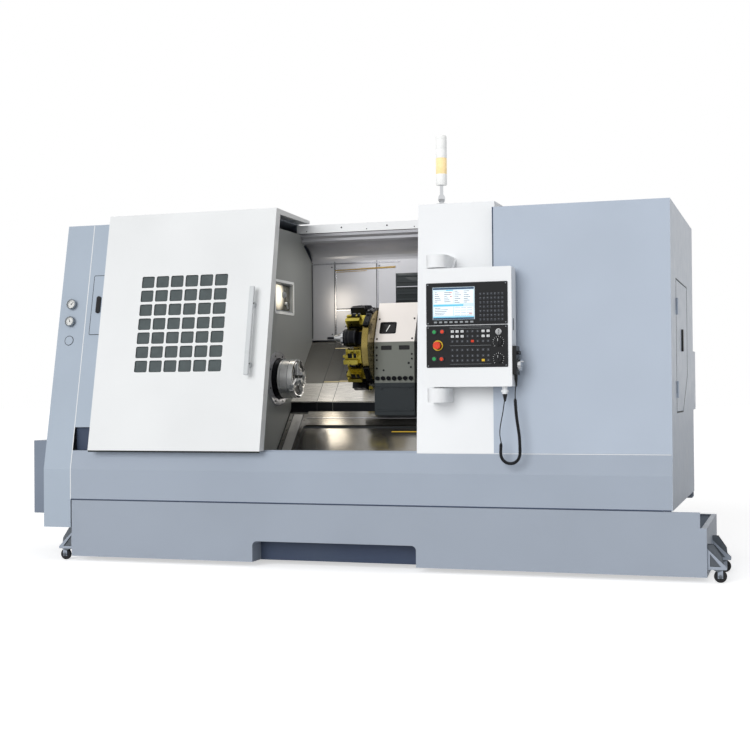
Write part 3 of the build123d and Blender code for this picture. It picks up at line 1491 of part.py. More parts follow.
def cord_path(points, label):
    """Straight runs in the plane below the pendant, joined by tangent arcs."""
    corners = [(seam_x + x, cord_y, z) for x, z in points]
    radii = []
    for a, b, c in zip(corners, corners[1:], corners[2:]):
        before = (b[0] - a[0], b[2] - a[2])
        after = (c[0] - b[0], c[2] - b[2])
        cross = before[0] * after[1] - before[1] * after[0]
        turn = abs(math.atan2(cross, before[0] * after[0] + before[1] * after[1]))
        run = min(math.hypot(*before), math.hypot(*after))
        radii.append(corner_share * run / math.tan(turn / 2))
    print(label, "radii", [round(r, 1) for r in radii])
    return corners, radii


def cord_tube(points, radius, label):
    """A round tube along a cord path."""
    corners, radii = cord_path(points, label)
    with BuildPart() as tube:
        with BuildLine():
            route = FilletPolyline(*corners, radius=radii)
        with BuildSketch(Plane(route @ 0, z_dir=route % 0)):
            Circle(radius)
        sweep()
    return tube


coil_points = [(2479.0, 870.0), (2482.0, 800.0), (2490.0, 742.0), (2498.0, 690.0), (2500.5, 636.0),
               (2500.0, 580.5), (2472.5, 553.0), (2433.5, 553.0), (2406.0, 580.5), (2405.5, 620.0),
               (2408.0, 655.0)]
lead_high = [(2485.0, 970.5), (2485.0, 940.0), (2479.5, 905.0), (2479.0, 871.0)]
lead_low = [(2408.0, 656.0), (2401.0, 690.0), (2403.0, 728.0), (2414.0, 780.0), (2424.0, 832.0),
            (2429.0, 889.5)]
pieces["cord_coil"] = cord_tube(coil_points, coil_radius, "coil")
lead_one = cord_tube(lead_high, lead_radius, "upper lead")
lead_two = cord_tube(lead_low, lead_radius, "lower lead")
with BuildPart() as cord_leads:
    add(lead_one.part)
    add(lead_two.part)
pieces["cord_leads"] = cord_leads

# Chip tank on casters: a long trough under the guard with a bay at its right end
tank_back_y = y_front + tank_depth
tank_right = tank_x + tank_length
rim_width = 25.0
axle_radius = 4.0
bracket_out = wheel_out + wheel_radius
with BuildPart() as chip_tank:
    with BuildSketch(Plane.XY.offset(tank_bottom)) as tank_plan:
        with BuildLine():
            Polyline((tank_x, y_front), (tank_right, y_front), (tank_right, tank_back_y + bay_depth),
                     (tank_right - bay_length, tank_back_y + bay_depth),
                     (tank_right - bay_length, tank_back_y), (tank_x, tank_back_y), close=True)
        make_face()
    extrude(tank_plan.sketch, amount=tank_rim - tank_bottom)
    # Notch at the front for the operator's feet
    with BuildSketch(front_plane(notch_x + notch_length / 2, y_front, tank_bottom)) as notch:
        with Locations((0, 0)):
            RectangleRounded(notch_length, 2 * (notch_top - tank_bottom), 24.0)
    notch_solid = notch.sketch
    # Hollow above the floor, stepped over the notch
    floor_z = tank_bottom + sheet
    with BuildSketch(Plane.XY.offset(floor_z)) as tank_inside:
        add(tank_plan.sketch.moved(Location((0, 0, sheet))))
        offset(amount=-sheet, kind=Kind.INTERSECTION, mode=Mode.REPLACE)
    inside = tank_inside.sketch
    extrude(inside, amount=tank_rim - floor_z + 1, mode=Mode.SUBTRACT)
    block(notch_x - sheet, notch_x + notch_length + sheet, y_front, y_front + notch_depth + sheet,
          tank_bottom, notch_top + sheet)
    extrude(notch_solid, amount=-notch_depth, mode=Mode.SUBTRACT)
    # Rim all round, turned out
    with BuildSketch(Plane.XY.offset(tank_rim - sheet)) as rim:
        add(tank_plan.sketch.moved(Location((0, 0, tank_rim - sheet - tank_bottom))))
        offset(amount=-rim_width, kind=Kind.INTERSECTION, mode=Mode.SUBTRACT)
    extrude(rim.sketch, amount=sheet)
    # Front plate above the rim
    block(tank_x, tank_right - 30.0, y_front, y_front + sheet, tank_rim - sheet, tank_front_top)
    block(tank_x, tank_right - 30.0, y_front, y_front + 12.0, tank_front_top - sheet, tank_front_top)
    # Perforated divider between the chip bay and the coolant
    block(tank_right - 620.0, tank_right - 617.0, y_front + sheet, tank_back_y - sheet, floor_z, 210.0)
    # Caster brackets with a triangular hole, plates and forks at both ends
    for end, out in ((tank_x, -1.0), (tank_right, 1.0)):
        for cy in (caster_front_y, caster_rear_y):
            wheel_x = end + out * wheel_out
            for web_y in (cy - 25.0, cy + 22.0):
                with BuildSketch(front_plane(end, web_y + sheet, 0)) as web:
                    with BuildLine():
                        Polyline((0, 160.0), (0, 62.0), (out * bracket_out, 62.0),
                                 (out * bracket_out, 74.0), close=True)
                    make_face()
                    with BuildLine():
                        Polyline((out * 12.0, 136.0), (out * 12.0, 76.0), (out * 62.0, 76.0),
                                 close=True)
                    make_face(mode=Mode.SUBTRACT)
                extrude(web.sketch, amount=sheet)
            block(min(end, end + out * bracket_out), max(end, end + out * bracket_out), cy - 25.0,
                  cy + 25.0, 62.0, 66.0)
            block(wheel_x - 18.0, wheel_x + 18.0, cy - 14.0, cy + 14.0, 61.5, 62.5)
            for cheek_y in (cy - 14.0, cy + 11.0):
                block(wheel_x - 12.0, wheel_x + 12.0, cheek_y, cheek_y + sheet, 20.0, 62.5)
            round_bar(front_plane(wheel_x, cy + 14.0, wheel_radius), axle_radius, 28.0)
pieces["chip_tank"] = chip_tank

# Caster wheels on their axles between the fork cheeks
number = 0
for end, out in ((tank_x, -1.0), (tank_right, 1.0)):
    for cy in (caster_front_y, caster_rear_y):
        number += 1
        wheel_x = end + out * wheel_out
        with BuildPart() as wheel:
            hub = front_plane(wheel_x, cy + wheel_width / 2, wheel_radius)
            round_bar(hub, wheel_radius, wheel_width)
            round_bar(hub, axle_radius + running_gap, wheel_width, Mode.SUBTRACT)
            chamfer(wheel.edges().filter_by(GeomType.CIRCLE).group_by(SortBy.RADIUS)[-1], 2.0)
        pieces[f"caster_wheel_{number}"] = wheel

os.makedirs("parts", exist_ok=True)
for name, piece in pieces.items():
    piece.part.label = name
    export_step(piece.part, f"parts/{name}.step")
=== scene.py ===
"""Finishes, small parts and studio for the turning lathe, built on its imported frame."""
import math

import bpy
import numpy as np
from bpy.props import FloatProperty, FloatVectorProperty, PointerProperty
from mathutils import Matrix, Vector


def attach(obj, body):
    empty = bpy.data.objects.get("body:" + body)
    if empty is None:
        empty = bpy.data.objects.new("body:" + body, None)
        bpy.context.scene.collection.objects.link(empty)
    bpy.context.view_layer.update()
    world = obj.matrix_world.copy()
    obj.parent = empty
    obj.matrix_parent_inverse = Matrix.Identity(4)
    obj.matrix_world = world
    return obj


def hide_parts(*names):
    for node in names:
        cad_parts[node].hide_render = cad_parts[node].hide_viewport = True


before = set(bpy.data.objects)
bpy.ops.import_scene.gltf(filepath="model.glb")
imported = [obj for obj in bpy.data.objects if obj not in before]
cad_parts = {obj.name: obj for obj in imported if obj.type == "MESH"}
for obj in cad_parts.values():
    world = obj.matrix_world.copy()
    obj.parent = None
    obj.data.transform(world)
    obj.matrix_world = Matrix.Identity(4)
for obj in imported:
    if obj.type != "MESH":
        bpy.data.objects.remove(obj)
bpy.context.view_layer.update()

bl_info = {
    "name": "Turning lathe finish",
    "version": (1, 0, 0),
    "blender": (4, 5, 0),
    "location": "View3D > Sidebar > Lathe",
    "description": "Gives the turning lathe its finishes, small parts and studio",
    "category": "Object",
}

# Drawing frame: millimetres, X from the left pillar's seam, Y back from the skirt's face, Z from the floor
SEAM_X, SKIRT_Y = -1517.5, -667.0
LEAN = 0.203          # how far the guards lean back for each millimetre of height
BEVEL_Z = 496.0
SLOPE = math.sqrt(0.5)  # the bed slopes at 45 degrees
SPINDLE_Y, SPINDLE_Z = 337.0, 980.0
FRONT, RIGHT, UP = (0, -1, 0), (1, 0, 0), (0, 0, 1)  # outward directions


def linear(code):
    """sRGB hex to linear: each channel by the standard curve."""
    channels = [int(code[i:i + 2], 16) / 255 for i in (1, 3, 5)]
    return [c / 12.92 if c <= 0.04045 else ((c + 0.055) / 1.055) ** 2.4 for c in channels]


def rgba(colour):
    """Four numbers from a hex code or from a colour property."""
    return (*(linear(colour) if isinstance(colour, str) else colour[:3]), 1.0)


def metres(spots):
    """Drawing frame in millimetres to the row frame in metres: shifted, then a thousandth."""
    return (np.asarray(spots, float) + [SEAM_X, SKIRT_Y, 0.0]) / 1000


def guard_y(z):
    """Front of the leaning guards at a height: the lean times the height above the bevel's foot."""
    return LEAN * (z - BEVEL_Z)


def door_y(z):
    """Front of the door, 62 mm before the guards."""
    return guard_y(z) - 62.0


def slant(along, out):
    """A point of the sloping bed, from the spindle's line: turned by 45 degrees."""
    return SPINDLE_Y + (along - out) * SLOPE, SPINDLE_Z + (along + out) * SLOPE


# Surfaces: a surface is (points in millimetres, blocks of faces with the same number of corners)


def facing_out(spots, blocks):
    """Turns a closed surface outwards: the volumes of the pyramids from its middle to its faces
    add up to more than 0."""
    middle, volume = spots.mean(0), 0.0
    for block in blocks:
        first = spots[block[:, 0]] - middle
        for k in range(1, block.shape[1] - 1):
            side = np.cross(spots[block[:, k]] - middle, spots[block[:, k + 1]] - middle)
            volume += float((first * side).sum())
    return spots, ([block[:, ::-1] for block in blocks] if volume < 0 else blocks)


def lattice(rows, ring=False, wrap=True):
    """Faces over rows of points: each joins a point, its neighbour in the row and the two of the next row.
    With wrap a row closes on itself, with ring the last row joins the first, else flat ends close it."""
    count, length = rows.shape[:2]
    i = np.arange(count if ring else count - 1)[:, None]
    j = np.arange(length if wrap else length - 1)[None, :]
    near, far = i * length, (i + 1) % count * length
    beside = (j + 1) % length
    quads = np.stack([near + j, near + beside, far + beside, far + j], -1).reshape(-1, 4)
    blocks = [quads]
    if wrap and not ring:
        blocks += [np.arange(length)[None, ::-1], (np.arange(length) + (count - 1) * length)[None, :]]
    return facing_out(rows.reshape(-1, 3), blocks)


def axes(normal, up=UP):
    """Right, up and normal as unit rows, right being up cross normal."""
    n = np.asarray(normal, float) / np.linalg.norm(normal)
    u = np.cross(up, n)
    if np.linalg.norm(u) < 1e-6:
        u = np.cross((0, 1, 0), n)
    u = u / np.linalg.norm(u)
    return np.stack([u, np.cross(n, u), n])


def rounded(corners, radius, steps=5):
    """A closed outline whose corners are parabolas between the points a radius away from each corner."""
    c = np.asarray(corners, float)
    r = np.broadcast_to(np.asarray(radius, float), (len(c),))[:, None]
    back, ahead = np.roll(c, 1, 0) - c, np.roll(c, -1, 0) - c
    start = c + back / np.linalg.norm(back, axis=1, keepdims=True) * r
    end = c + ahead / np.linalg.norm(ahead, axis=1, keepdims=True) * r
    t = np.linspace(0, 1, steps)[None, :, None]
    curve = (1 - t) ** 2 * start[:, None] + 2 * t * (1 - t) * c[:, None] + t ** 2 * end[:, None]
    return curve.reshape(-1, 2)


def oblong(width, height, radius=2.0, steps=5):
    """A rectangle about the middle with round corners."""
    w, h = width / 2, height / 2
    return rounded([(-w, -h), (w, -h), (w, h), (-w, h)], radius, steps)


def circle(radius, steps=32):
    """Points at equal angles, a radius from the middle."""
    angle = np.arange(steps) * 2 * np.pi / steps
    return np.stack([np.cos(angle), np.sin(angle)], 1) * radius


def inset(outline, distance):
    """Each point moves inwards along its two sides' normals added up: each side moves by the distance."""
    ahead = np.roll(outline, -1, 0) - outline
    ahead = ahead / np.maximum(np.linalg.norm(ahead, axis=1, keepdims=True), 1e-9)
    behind = np.roll(ahead, 1, 0)
    first, second = np.stack([-behind[:, 1], behind[:, 0]], 1), np.stack([-ahead[:, 1], ahead[:, 0]], 1)
    turn = 1 + (first * second).sum(1, keepdims=True)
    return outline + (first + second) / np.maximum(turn, 0.3) * distance


def slab(outline, edge, origin, normal=FRONT, up=UP, ring=False):
    """A plate: the outline is drawn inwards by each inset of the edge and raised by its height.
    With ring the edge is a closed section, which makes a frame."""
    sides = axes(normal, up)
    rows = np.stack([inset(outline, i) @ sides[:2] + sides[2] * h for i, h in edge])
    return lattice(rows + np.asarray(origin, float), ring=ring)


def pad(width, height, thick, origin, normal=FRONT, radius=2.0, bevel=0.8, up=UP, steps=5):
    """A plate with round corners and a softened front edge."""
    edge = [(0, 0), (0, thick - bevel), (bevel * 0.3, thick - bevel * 0.3), (bevel, thick)]
    return slab(oblong(width, height, radius, steps), edge, origin, normal, up)


def bar(low, high, bevel=0.8):
    """A straight block between two corners with all its front and rear edges softened."""
    low, high = np.asarray(low, float), np.asarray(high, float)
    w, d, h = high - low
    b = min(bevel, w / 3, d / 3, h / 3)
    edge = [(b, 0), (0, b), (0, d - b), (b, d)]
    middle = (low + high) / 2
    return slab(oblong(w, h, b * 1.2, 3), edge, (middle[0], high[1], middle[2]))


def turned(profile, origin, axis=FRONT, steps=40, ring=False):
    """A profile of radius and height carried round an axis."""
    sides = axes(axis)
    p = np.asarray(profile, float)
    rows = p[:, 0, None, None] * (circle(1.0, steps) @ sides[:2])[None] + p[:, 1, None, None] * sides[2]
    return lattice(rows + np.asarray(origin, float), ring=ring)


def run(path, section, up=UP, ring=False):
    """A section carried along a path: its first number goes sideways and its second goes up,
    both square to the path."""
    p, s = np.asarray(path, float), np.asarray(section, float)
    ahead = (np.roll(p, -1, 0) - np.roll(p, 1, 0)) if ring else np.gradient(p, axis=0)
    ahead = ahead / np.linalg.norm(ahead, axis=1, keepdims=True)
    side = np.cross(ahead, np.asarray(up, float))
    side = side / np.linalg.norm(side, axis=1, keepdims=True)
    over = np.cross(side, ahead)
    rows = p[:, None] + s[None, :, 0, None] * side[:, None] + s[None, :, 1, None] * over[:, None]
    return lattice(rows, ring=ring)


def copies(surface, places):
    """The surface once at each place, as one."""
    spots, blocks = surface
    shift = np.asarray(places, float)
    count = len(spots)
    moved = (spots[None] + shift[:, None]).reshape(-1, 3)
    step = np.arange(len(shift))[:, None, None] * count
    return moved, [(block[None] + step).reshape(-1, block.shape[1]) for block in blocks]


def about(surface, origin, axis, degrees):
    """The surface turned about a line by an angle, by Rodrigues' formula."""
    spots, blocks = surface
    n = np.asarray(axis, float) / np.linalg.norm(axis)
    a = math.radians(degrees)
    v = spots - np.asarray(origin, float)
    v = v * math.cos(a) + np.cross(n, v) * math.sin(a) + np.outer(v @ n, n) * (1 - math.cos(a))
    return v + np.asarray(origin, float), blocks


def screw(origin, normal, radius=5.0, height=3.0, steps=16):
    """A cap screw: a head with a softened rim and a socket sunk in its top."""
    socket = radius * 0.5
    profile = [(radius, -0.5), (radius, height - 0.8), (radius - 0.8, height), (socket, height),
               (socket * 0.96, height - min(2.0, height * 0.7))]
    return turned(profile, origin, normal, steps)


SHARP_EDGE = math.radians(38.0)  # faces that meet at more than this are shaded apart


def piece(name, surfaces, finish, body):
    """Joins surfaces into one object at the origin that rides on a body; its finish names its material slot
    too."""
    spots, rows, count = [], [], 0
    for points, blocks in surfaces:
        spots.append(points)
        for block in blocks:
            rows += (block + count).tolist()
        count += len(points)
    mesh = bpy.data.meshes.new(name)
    mesh.from_pydata(metres(np.concatenate(spots)).tolist(), [], rows)
    mesh.shade_smooth()
    mesh.set_sharp_from_angle(angle=SHARP_EDGE)
    mesh.materials.append(COAT[finish])
    made = bpy.data.objects.new(name, mesh)
    bpy.context.scene.collection.objects.link(made)
    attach(made, body)
    return made


def add(tree, kind, inputs=None, **settings):
    """Adds one node: settings are its own choices, inputs give a socket a value or the one that feeds it."""
    made = tree.nodes.new("ShaderNode" + kind)
    for key, value in settings.items():
        setattr(made, key, value)
    for key, value in (inputs or {}).items():
        if isinstance(value, bpy.types.NodeSocket):
            tree.links.new(value, made.inputs[key])
        else:
            made.inputs[key].default_value = value
    return made


def emptied(owner):
    """The node tree of a world or a material, with nothing in it."""
    owner.use_nodes = True
    owner.node_tree.nodes.clear()
    return owner.node_tree


def new_finish(name):
    """An empty material and the output node that its shader feeds."""
    finish = bpy.data.materials.new(name)
    tree = emptied(finish)
    return finish, tree, add(tree, "OutputMaterial")


def principled(finish, tree, out, inputs):
    """Ends a material: a Principled shader with these inputs feeds its output."""
    shader = add(tree, "BsdfPrincipled", inputs)
    tree.links.new(shader.outputs["BSDF"], out.inputs["Surface"])
    return finish


def speckle(tree, size_mm, stretch=(1, 1, 1), detail=2.0, roughness=0.5):
    """Noise on Object coordinates with grains of the given size; stretch lengthens them along an axis."""
    place = add(tree, "TexCoord")
    scale = [1000.0 / size_mm / s for s in stretch]
    spread = add(tree, "Mapping", {"Vector": place.outputs["Object"], "Scale": scale})
    return add(tree, "TexNoise", {"Vector": spread.outputs["Vector"], "Scale": 1.0, "Detail": detail,
                                  "Roughness": roughness}).outputs["Fac"]


def ranged(tree, value, to_min, to_max, from_min=0.0, from_max=1.0, **settings):
    """A value carried from one range to another."""
    inputs = {"Value": value, "From Min": from_min, "From Max": from_max, "To Min": to_min, "To Max": to_max}
    return add(tree, "MapRange", inputs, **settings).outputs["Result"]


def between(tree, fac, low, high):
    """A number that goes from low to high as fac goes over its usual middle range."""
    return ranged(tree, fac, low, high, 0.3, 0.7)


def tint(tree, fac, first, second):
    """A colour between two, by fac."""
    return add(tree, "Mix", {"Factor": fac, "A": rgba(first), "B": rgba(second)},
               data_type="RGBA").outputs["Result"]


def coated(name, colour, shade, rough=0.36, peel_mm=5.0, peel=0.02):
    """Powder coat or paint: a fine orange peel catches the light, and the coat's tone drifts a little."""
    finish, tree, out = new_finish(name)
    drift = speckle(tree, 420.0, detail=1.0)
    bump = add(tree, "Bump", {"Height": speckle(tree, peel_mm), "Strength": peel * 10, "Distance": 0.0002})
    return principled(finish, tree, out, {
        "Base Color": tint(tree, between(tree, drift, 0.0, 1.0), colour, shade),
        "Roughness": between(tree, speckle(tree, 60.0), rough - 0.04, rough + 0.05),
        "Normal": bump.outputs["Normal"], "IOR": 1.5})


def metal(name, colour, shade, rough=0.3, grain_mm=1.2, stretch=(60, 1, 1), depth=0.05, anisotropic=0.0,
          metallic=1.0, along=None):
    """Bare metal: grinding or brushing marks run along one axis and break up the reflections.
    Turning marks spread them along the given direction instead."""
    finish, tree, out = new_finish(name)
    marks = speckle(tree, grain_mm, stretch=stretch, detail=3.0)
    drift = speckle(tree, 180.0, detail=1.0)
    bump = add(tree, "Bump", {"Height": marks, "Strength": depth, "Distance": 0.0004})
    inputs = {"Base Color": tint(tree, between(tree, drift, 0.0, 1.0), colour, shade),
              "Metallic": metallic, "Roughness": between(tree, marks, rough - 0.07, rough + 0.09),
              "Normal": bump.outputs["Normal"], "Anisotropic": anisotropic}
    if along:
        inputs["Tangent"] = add(tree, "CombineXYZ", dict(zip("XYZ", along))).outputs["Vector"]
    return principled(finish, tree, out, inputs)


def moulded(name, colour, shade, rough=0.45, grain_mm=1.5, grain=0.1, ior=1.46, see_through=0.0):
    """Moulded plastic or rubber: a fine spark-eroded grain dulls the gloss."""
    finish, tree, out = new_finish(name)
    texture = speckle(tree, grain_mm)
    bump = add(tree, "Bump", {"Height": texture, "Strength": grain, "Distance": 0.0003})
    return principled(finish, tree, out, {
        "Base Color": tint(tree, between(tree, speckle(tree, 40.0), 0.0, 1.0), colour, shade),
        "Roughness": between(tree, texture, rough - 0.03, rough + 0.04),
        "Normal": bump.outputs["Normal"], "IOR": ior, "Transmission Weight": see_through})


def glowing(name, colour, shade, strength, rough=0.3):
    """A lit lens or screen patch: a little light of its own over a glossy face."""
    finish, tree, out = new_finish(name)
    return principled(finish, tree, out, {
        "Base Color": tint(tree, speckle(tree, 20.0), colour, shade), "Roughness": rough,
        "Emission Color": rgba(colour), "Emission Strength": strength})


def two_tone(name, axis, level, below, above, rough, grain_mm=3.0, depth=0.03):
    """Two finishes that meet at a level along an axis: each is a colour and how metallic it is."""
    finish, tree, out = new_finish(name)
    place = add(tree, "SeparateXYZ", {"Vector": add(tree, "TexCoord").outputs["Object"]}).outputs[axis]
    side = ranged(tree, place, 0.0, 1.0, level - 0.0004, level + 0.0004)
    drift = ranged(tree, speckle(tree, 200.0), 0.94, 1.04)
    base = add(tree, "Mix", {"Factor": 1.0, "A": tint(tree, side, below[0], above[0]), "B": drift},
               data_type="RGBA", blend_type="MULTIPLY").outputs["Result"]
    bump = add(tree, "Bump", {"Height": speckle(tree, grain_mm), "Strength": depth, "Distance": 0.0003})
    return principled(finish, tree, out, {
        "Base Color": base, "Metallic": ranged(tree, side, below[1], above[1]),
        "Roughness": ranged(tree, side, *rough), "Normal": bump.outputs["Normal"]})


def lit_lens(name, centre, reach, colour, dark, strength):
    """A lamp glass whose glow is strongest at a point and is gone at the reach from it."""
    finish, tree, out = new_finish(name)
    place = add(tree, "TexCoord").outputs["Object"]
    away = add(tree, "VectorMath", {0: place, 1: centre}, operation="DISTANCE").outputs["Value"]
    glow = ranged(tree, away, 1.0, 0.0, 0.3 * reach, reach, interpolation_type="SMOOTHSTEP")
    power = add(tree, "Math", {0: glow, 1: strength}, operation="MULTIPLY").outputs["Value"]
    return principled(finish, tree, out, {
        "Base Color": tint(tree, glow, dark, colour), "Roughness": 0.2,
        "Emission Color": rgba(colour), "Emission Strength": power})


# Coats whose colour is a setting: the setting, how dark the second tone is and the roughness.
# Powder coat on sheet steel is smooth and semi-gloss, with a fine orange peel
SET_COATS = {
    "white powder coat": ("white_coat", 0.95, 0.33),
    "blue grey powder coat": ("guard_coat", 0.95, 0.34),
    "bright white powder coat": ("column_coat", 0.97, 0.33),
    "housing powder coat": ("housing_coat", 0.95, 0.34),
    "skirt powder coat": ("skirt_coat", 0.95, 0.36),
    "grey powder coat": ("tank_coat", 0.95, 0.38),
}
# The other finishes: what each maker takes after the name
PAINTS = {
    # A darker copy of the blue grey coat, for the hydraulic unit
    "deep grey powder coat": ("#838D9C", "#7B8594", 0.4),
    # Navy for gaps and recesses: painted shade
    "navy gap paint": ("#3F4A5E", "#37425A", 0.5),
    "satin handle": ("#D5D9DB", "#CACED0", 0.3),
    # Two-part machine paint on cast iron: thicker, with the casting's soft waves under it
    "casting paint": ("#7D8078", "#6E726C", 0.42, 9.0, 0.05),
    # The carriage's dark paint is made darker still: painted shade of the machine's inside, where the
    # carriage lies in shadow
    "dark machine paint": ("#1B2327", "#161D21", 0.42, 9.0, 0.04),
}
METALS = {
    # Austenitic sheet: long streaks along the sheet, warm grey
    "brushed stainless": ("#A9A7A3", "#9C9993", 0.17, 1.0, (90, 1, 1), 0.02, 0.0, 0.95),
    "stainless liner": ("#C4C5CB", "#B5B6BD", 0.2, 1.0, (1, 1, 70), 0.02),
    "polished sheet": ("#E6E4E0", "#DAD8D4", 0.15, 1.0, (60, 1, 1), 0.02, 0.0, 0.7),
    # Nearly white sheet on the lower part of the covers' slope: painted reflection of the bright room above
    "bright lip": ("#F1EEE9", "#E6E3DD", 0.25, 1.0, (60, 1, 1), 0.02, 0.0, 0.3),
    # Ground, turned and plated steel: bright, with fine rings or scratches
    "ground steel": ("#C8C9CA", "#B2B4B6", 0.2, 0.9, (1, 8, 8), 0.05, 0.3),
    "turned steel": ("#DCDCDB", "#CFD0D0", 0.32, 3.0, (0.3, 40, 40), 0.1, 0.8, 1.0, (1.0, 0.0, 0.0)),
    "chromed steel": ("#DADCDE", "#CBCDD0", 0.08, 2.0, (1, 1, 1), 0.01),
    "zinc plate": ("#A9AEB3", "#989DA3", 0.36, 4.0, (1, 1, 1), 0.06),
    "caster plate": ("#7F858C", "#6E747B", 0.35, 3.0, (1, 1, 1), 0.04),
    "gauge bezel": ("#9CA1A6", "#8A8F94", 0.2, 2.0, (1, 1, 1), 0.02),
    # Brass and other yellow metal; chromate on steel is golden and a little uneven
    "brass": ("#C4A565", "#AD8F50", 0.3, 1.5, (10, 1, 1), 0.05),
    "pale brass": ("#CDBB88", "#BBA873", 0.28, 1.5, (1, 1, 10), 0.04),
    "gold disc": ("#A8975E", "#8C7B45", 0.24, 1.5, (1, 10, 10), 0.04),
    "yellow chromate": ("#CBBB57", "#948737", 0.32, 9.0, (1, 1, 1), 0.08),
    # Black oxide on steel: a thin dark skin that still shines
    "black oxide": ("#26272A", "#1C1D20", 0.36, 1.6, (1, 3, 3), 0.06),
}
PLASTICS = {
    "rubber": ("#17181A", "#1F2022", 0.62, 2.0, 0.2, 1.52),
    "black seal": ("#2A2D30", "#232628", 0.55, 2.0, 0.1),
    "pale wiper": ("#CDBF98", "#BBAC82", 0.5, 3.0, 0.05),
    "cord jacket": ("#0C0D10", "#121317", 0.38, 1.0, 0.05),
    "black plastic": ("#0E0F12", "#131417", 0.4),
    "grey plastic": ("#9CA1A5", "#8F9498", 0.46),
    "white key plastic": ("#E9EBEC", "#DDE0E2", 0.4),
    "dark key plastic": ("#33363C", "#2B2E34", 0.4),
    "red button plastic": ("#E0452A", "#CF3B22", 0.25, 3.0, 0.02),
    "green button plastic": ("#2FA35A", "#268F4E", 0.25, 3.0, 0.02),
    "yellow plastic": ("#E8C23B", "#DAB22E", 0.35, 3.0, 0.02),
    "dial face": ("#E7E8E6", "#DCDDDB", 0.3, 10.0, 0.02),
    # Smoked polycarbonate: even grey, clear gloss, a dim view through
    "smoked window": ("#465254", "#3D494B", 0.12, 30.0, 0.02, 1.58, 0.08),
}
LIGHTS = {
    "tower lens": ("#F7F7F5", "#EEF0F0", 0.12, 0.25),
    "amber lens": ("#F4D594", "#F8E6BE", 0.3),
    "screen glass": ("#CBDDE6", "#BFD4DF", 0.35),
    "screen navy": ("#2E4A6B", "#29435F", 0.15),
    "screen cyan": ("#5FC3DF", "#52B4D2", 0.3),
    "screen pale": ("#E6EEF2", "#D9E4EA", 0.35),
}
LINER_SEAM_X = 1080.35  # where the cavity liner's painted left wall meets the bare sheet
TURRET_LIT_TOP_Z = 1.172   # height where the turret's paint turns from darker olive below to cream above, in metres; the cream is painted light on the upper face
LAMP_SPOT = (1062, 396, 1440)


def finishes(colours):
    """Every material once, by its plain name."""
    made = {}
    for name, (setting, fade, rough) in SET_COATS.items():
        colour = tuple(getattr(colours, setting))
        made[name] = coated(name, colour, [c * fade for c in colour], rough)
    for maker, rows in ((coated, PAINTS), (metal, METALS), (moulded, PLASTICS), (glowing, LIGHTS)):
        made.update({name: maker(name, *row) for name, row in rows.items()})
    made["lining"] = two_tone("lining", "X", (LINER_SEAM_X + SEAM_X) / 1000, ("#8F9290", 0.0),
                              ("#B4B5BA", 0.5),
                              (0.5, 0.27), 2.0, 0.02)
    # The turret's paint is drawn cream above a height: painted light on its upper face, which catches the
    # light
    made["turret paint"] = two_tone("turret paint", "Z", TURRET_LIT_TOP_Z, ("#6C6F69", 0.0), ("#ECE6E1", 0.0),
                                    (0.4, 0.36), 8.0, 0.04)
    made["lamp glass"] = lit_lens("lamp glass", tuple(metres(LAMP_SPOT)), 0.1, "#FFF4DC", "#57564B", 1.0)
    return made


CAD_FINISH = {
    "casting paint": ["bed", "headstock", "tailstock"],
    "turret paint": ["turret_box"],
    "dark machine paint": ["saddle", "cross_slide", "spindle_motor"],
    "blue grey powder coat": ["left_end_guard", "headstock_guard"],
    "housing powder coat": ["right_housing", "access_door", "rear_guard"],
    "skirt powder coat": ["front_skirt"],
    "deep grey powder coat": ["hydraulic_unit"],
    "grey powder coat": ["chip_tank"],
    "white powder coat": ["door_panel", "door_handle"],
    "bright white powder coat": ["column", "pendant_box"],
    "brushed stainless": ["apron_plates", "way_cover_middle", "way_cover_moving"],
    "lining": ["cavity_liner"],
    "ground steel": ["spindle", "chuck_cylinder", "motor_pulley", "z_ball_screw", "tailstock_quill",
                     "key_switch"],
    "turned steel": ["chuck_body", "chuck_jaw_1", "chuck_jaw_2", "chuck_jaw_3"],
    "black oxide": ["chuck_adapter", "holders_black"],
    "gold disc": ["turret_disc"],
    "yellow chromate": ["holders_yellow"],
    "rubber": ["drive_belt", "caster_wheel_1", "caster_wheel_2", "caster_wheel_3", "caster_wheel_4"],
    "black plastic": ["control_unit", "operator_panel", "handwheel_unit", "feed_knob", "speed_knob",
                      "cord_coil", "cord_leads"],
    "chromed steel": ["pressure_gauges", "handwheel_dial"],
    "grey plastic": ["electric_rack", "work_lamp"],
    "tower lens": ["signal_tower"],
    "smoked window": ["door_glass"],
    "red button plastic": ["estop_button", "feed_hold", "power_off"],
    "green button plastic": ["cycle_start", "power_on"],
}
COAT = {}  # the finishes, filled by the first operator


class LatheColours(bpy.types.PropertyGroup):
    """Colours of the coats."""
    white_coat: FloatVectorProperty(name="White coat", description="Door, seams and lamp frame",
                                    subtype="COLOR", default=linear("#ECEEEF"), min=0, max=1)
    column_coat: FloatVectorProperty(name="Column coat", description="Column and pendant box",
                                     subtype="COLOR", default=linear("#F2F4F6"), min=0, max=1)
    guard_coat: FloatVectorProperty(name="Guard coat", description="Guards at the spindle's end",
                                    subtype="COLOR", default=linear("#ACB8C6"), min=0, max=1)
    housing_coat: FloatVectorProperty(name="Housing coat", description="Housing at the tailstock's end",
                                      subtype="COLOR", default=linear("#B6C1D0"), min=0, max=1)
    skirt_coat: FloatVectorProperty(name="Skirt coat", description="Front skirt and its bevel",
                                    subtype="COLOR", default=linear("#A3ADBB"), min=0, max=1)
    tank_coat: FloatVectorProperty(name="Tank coat", description="Chip tank",
                                   subtype="COLOR", default=linear("#9FA8B5"), min=0, max=1)


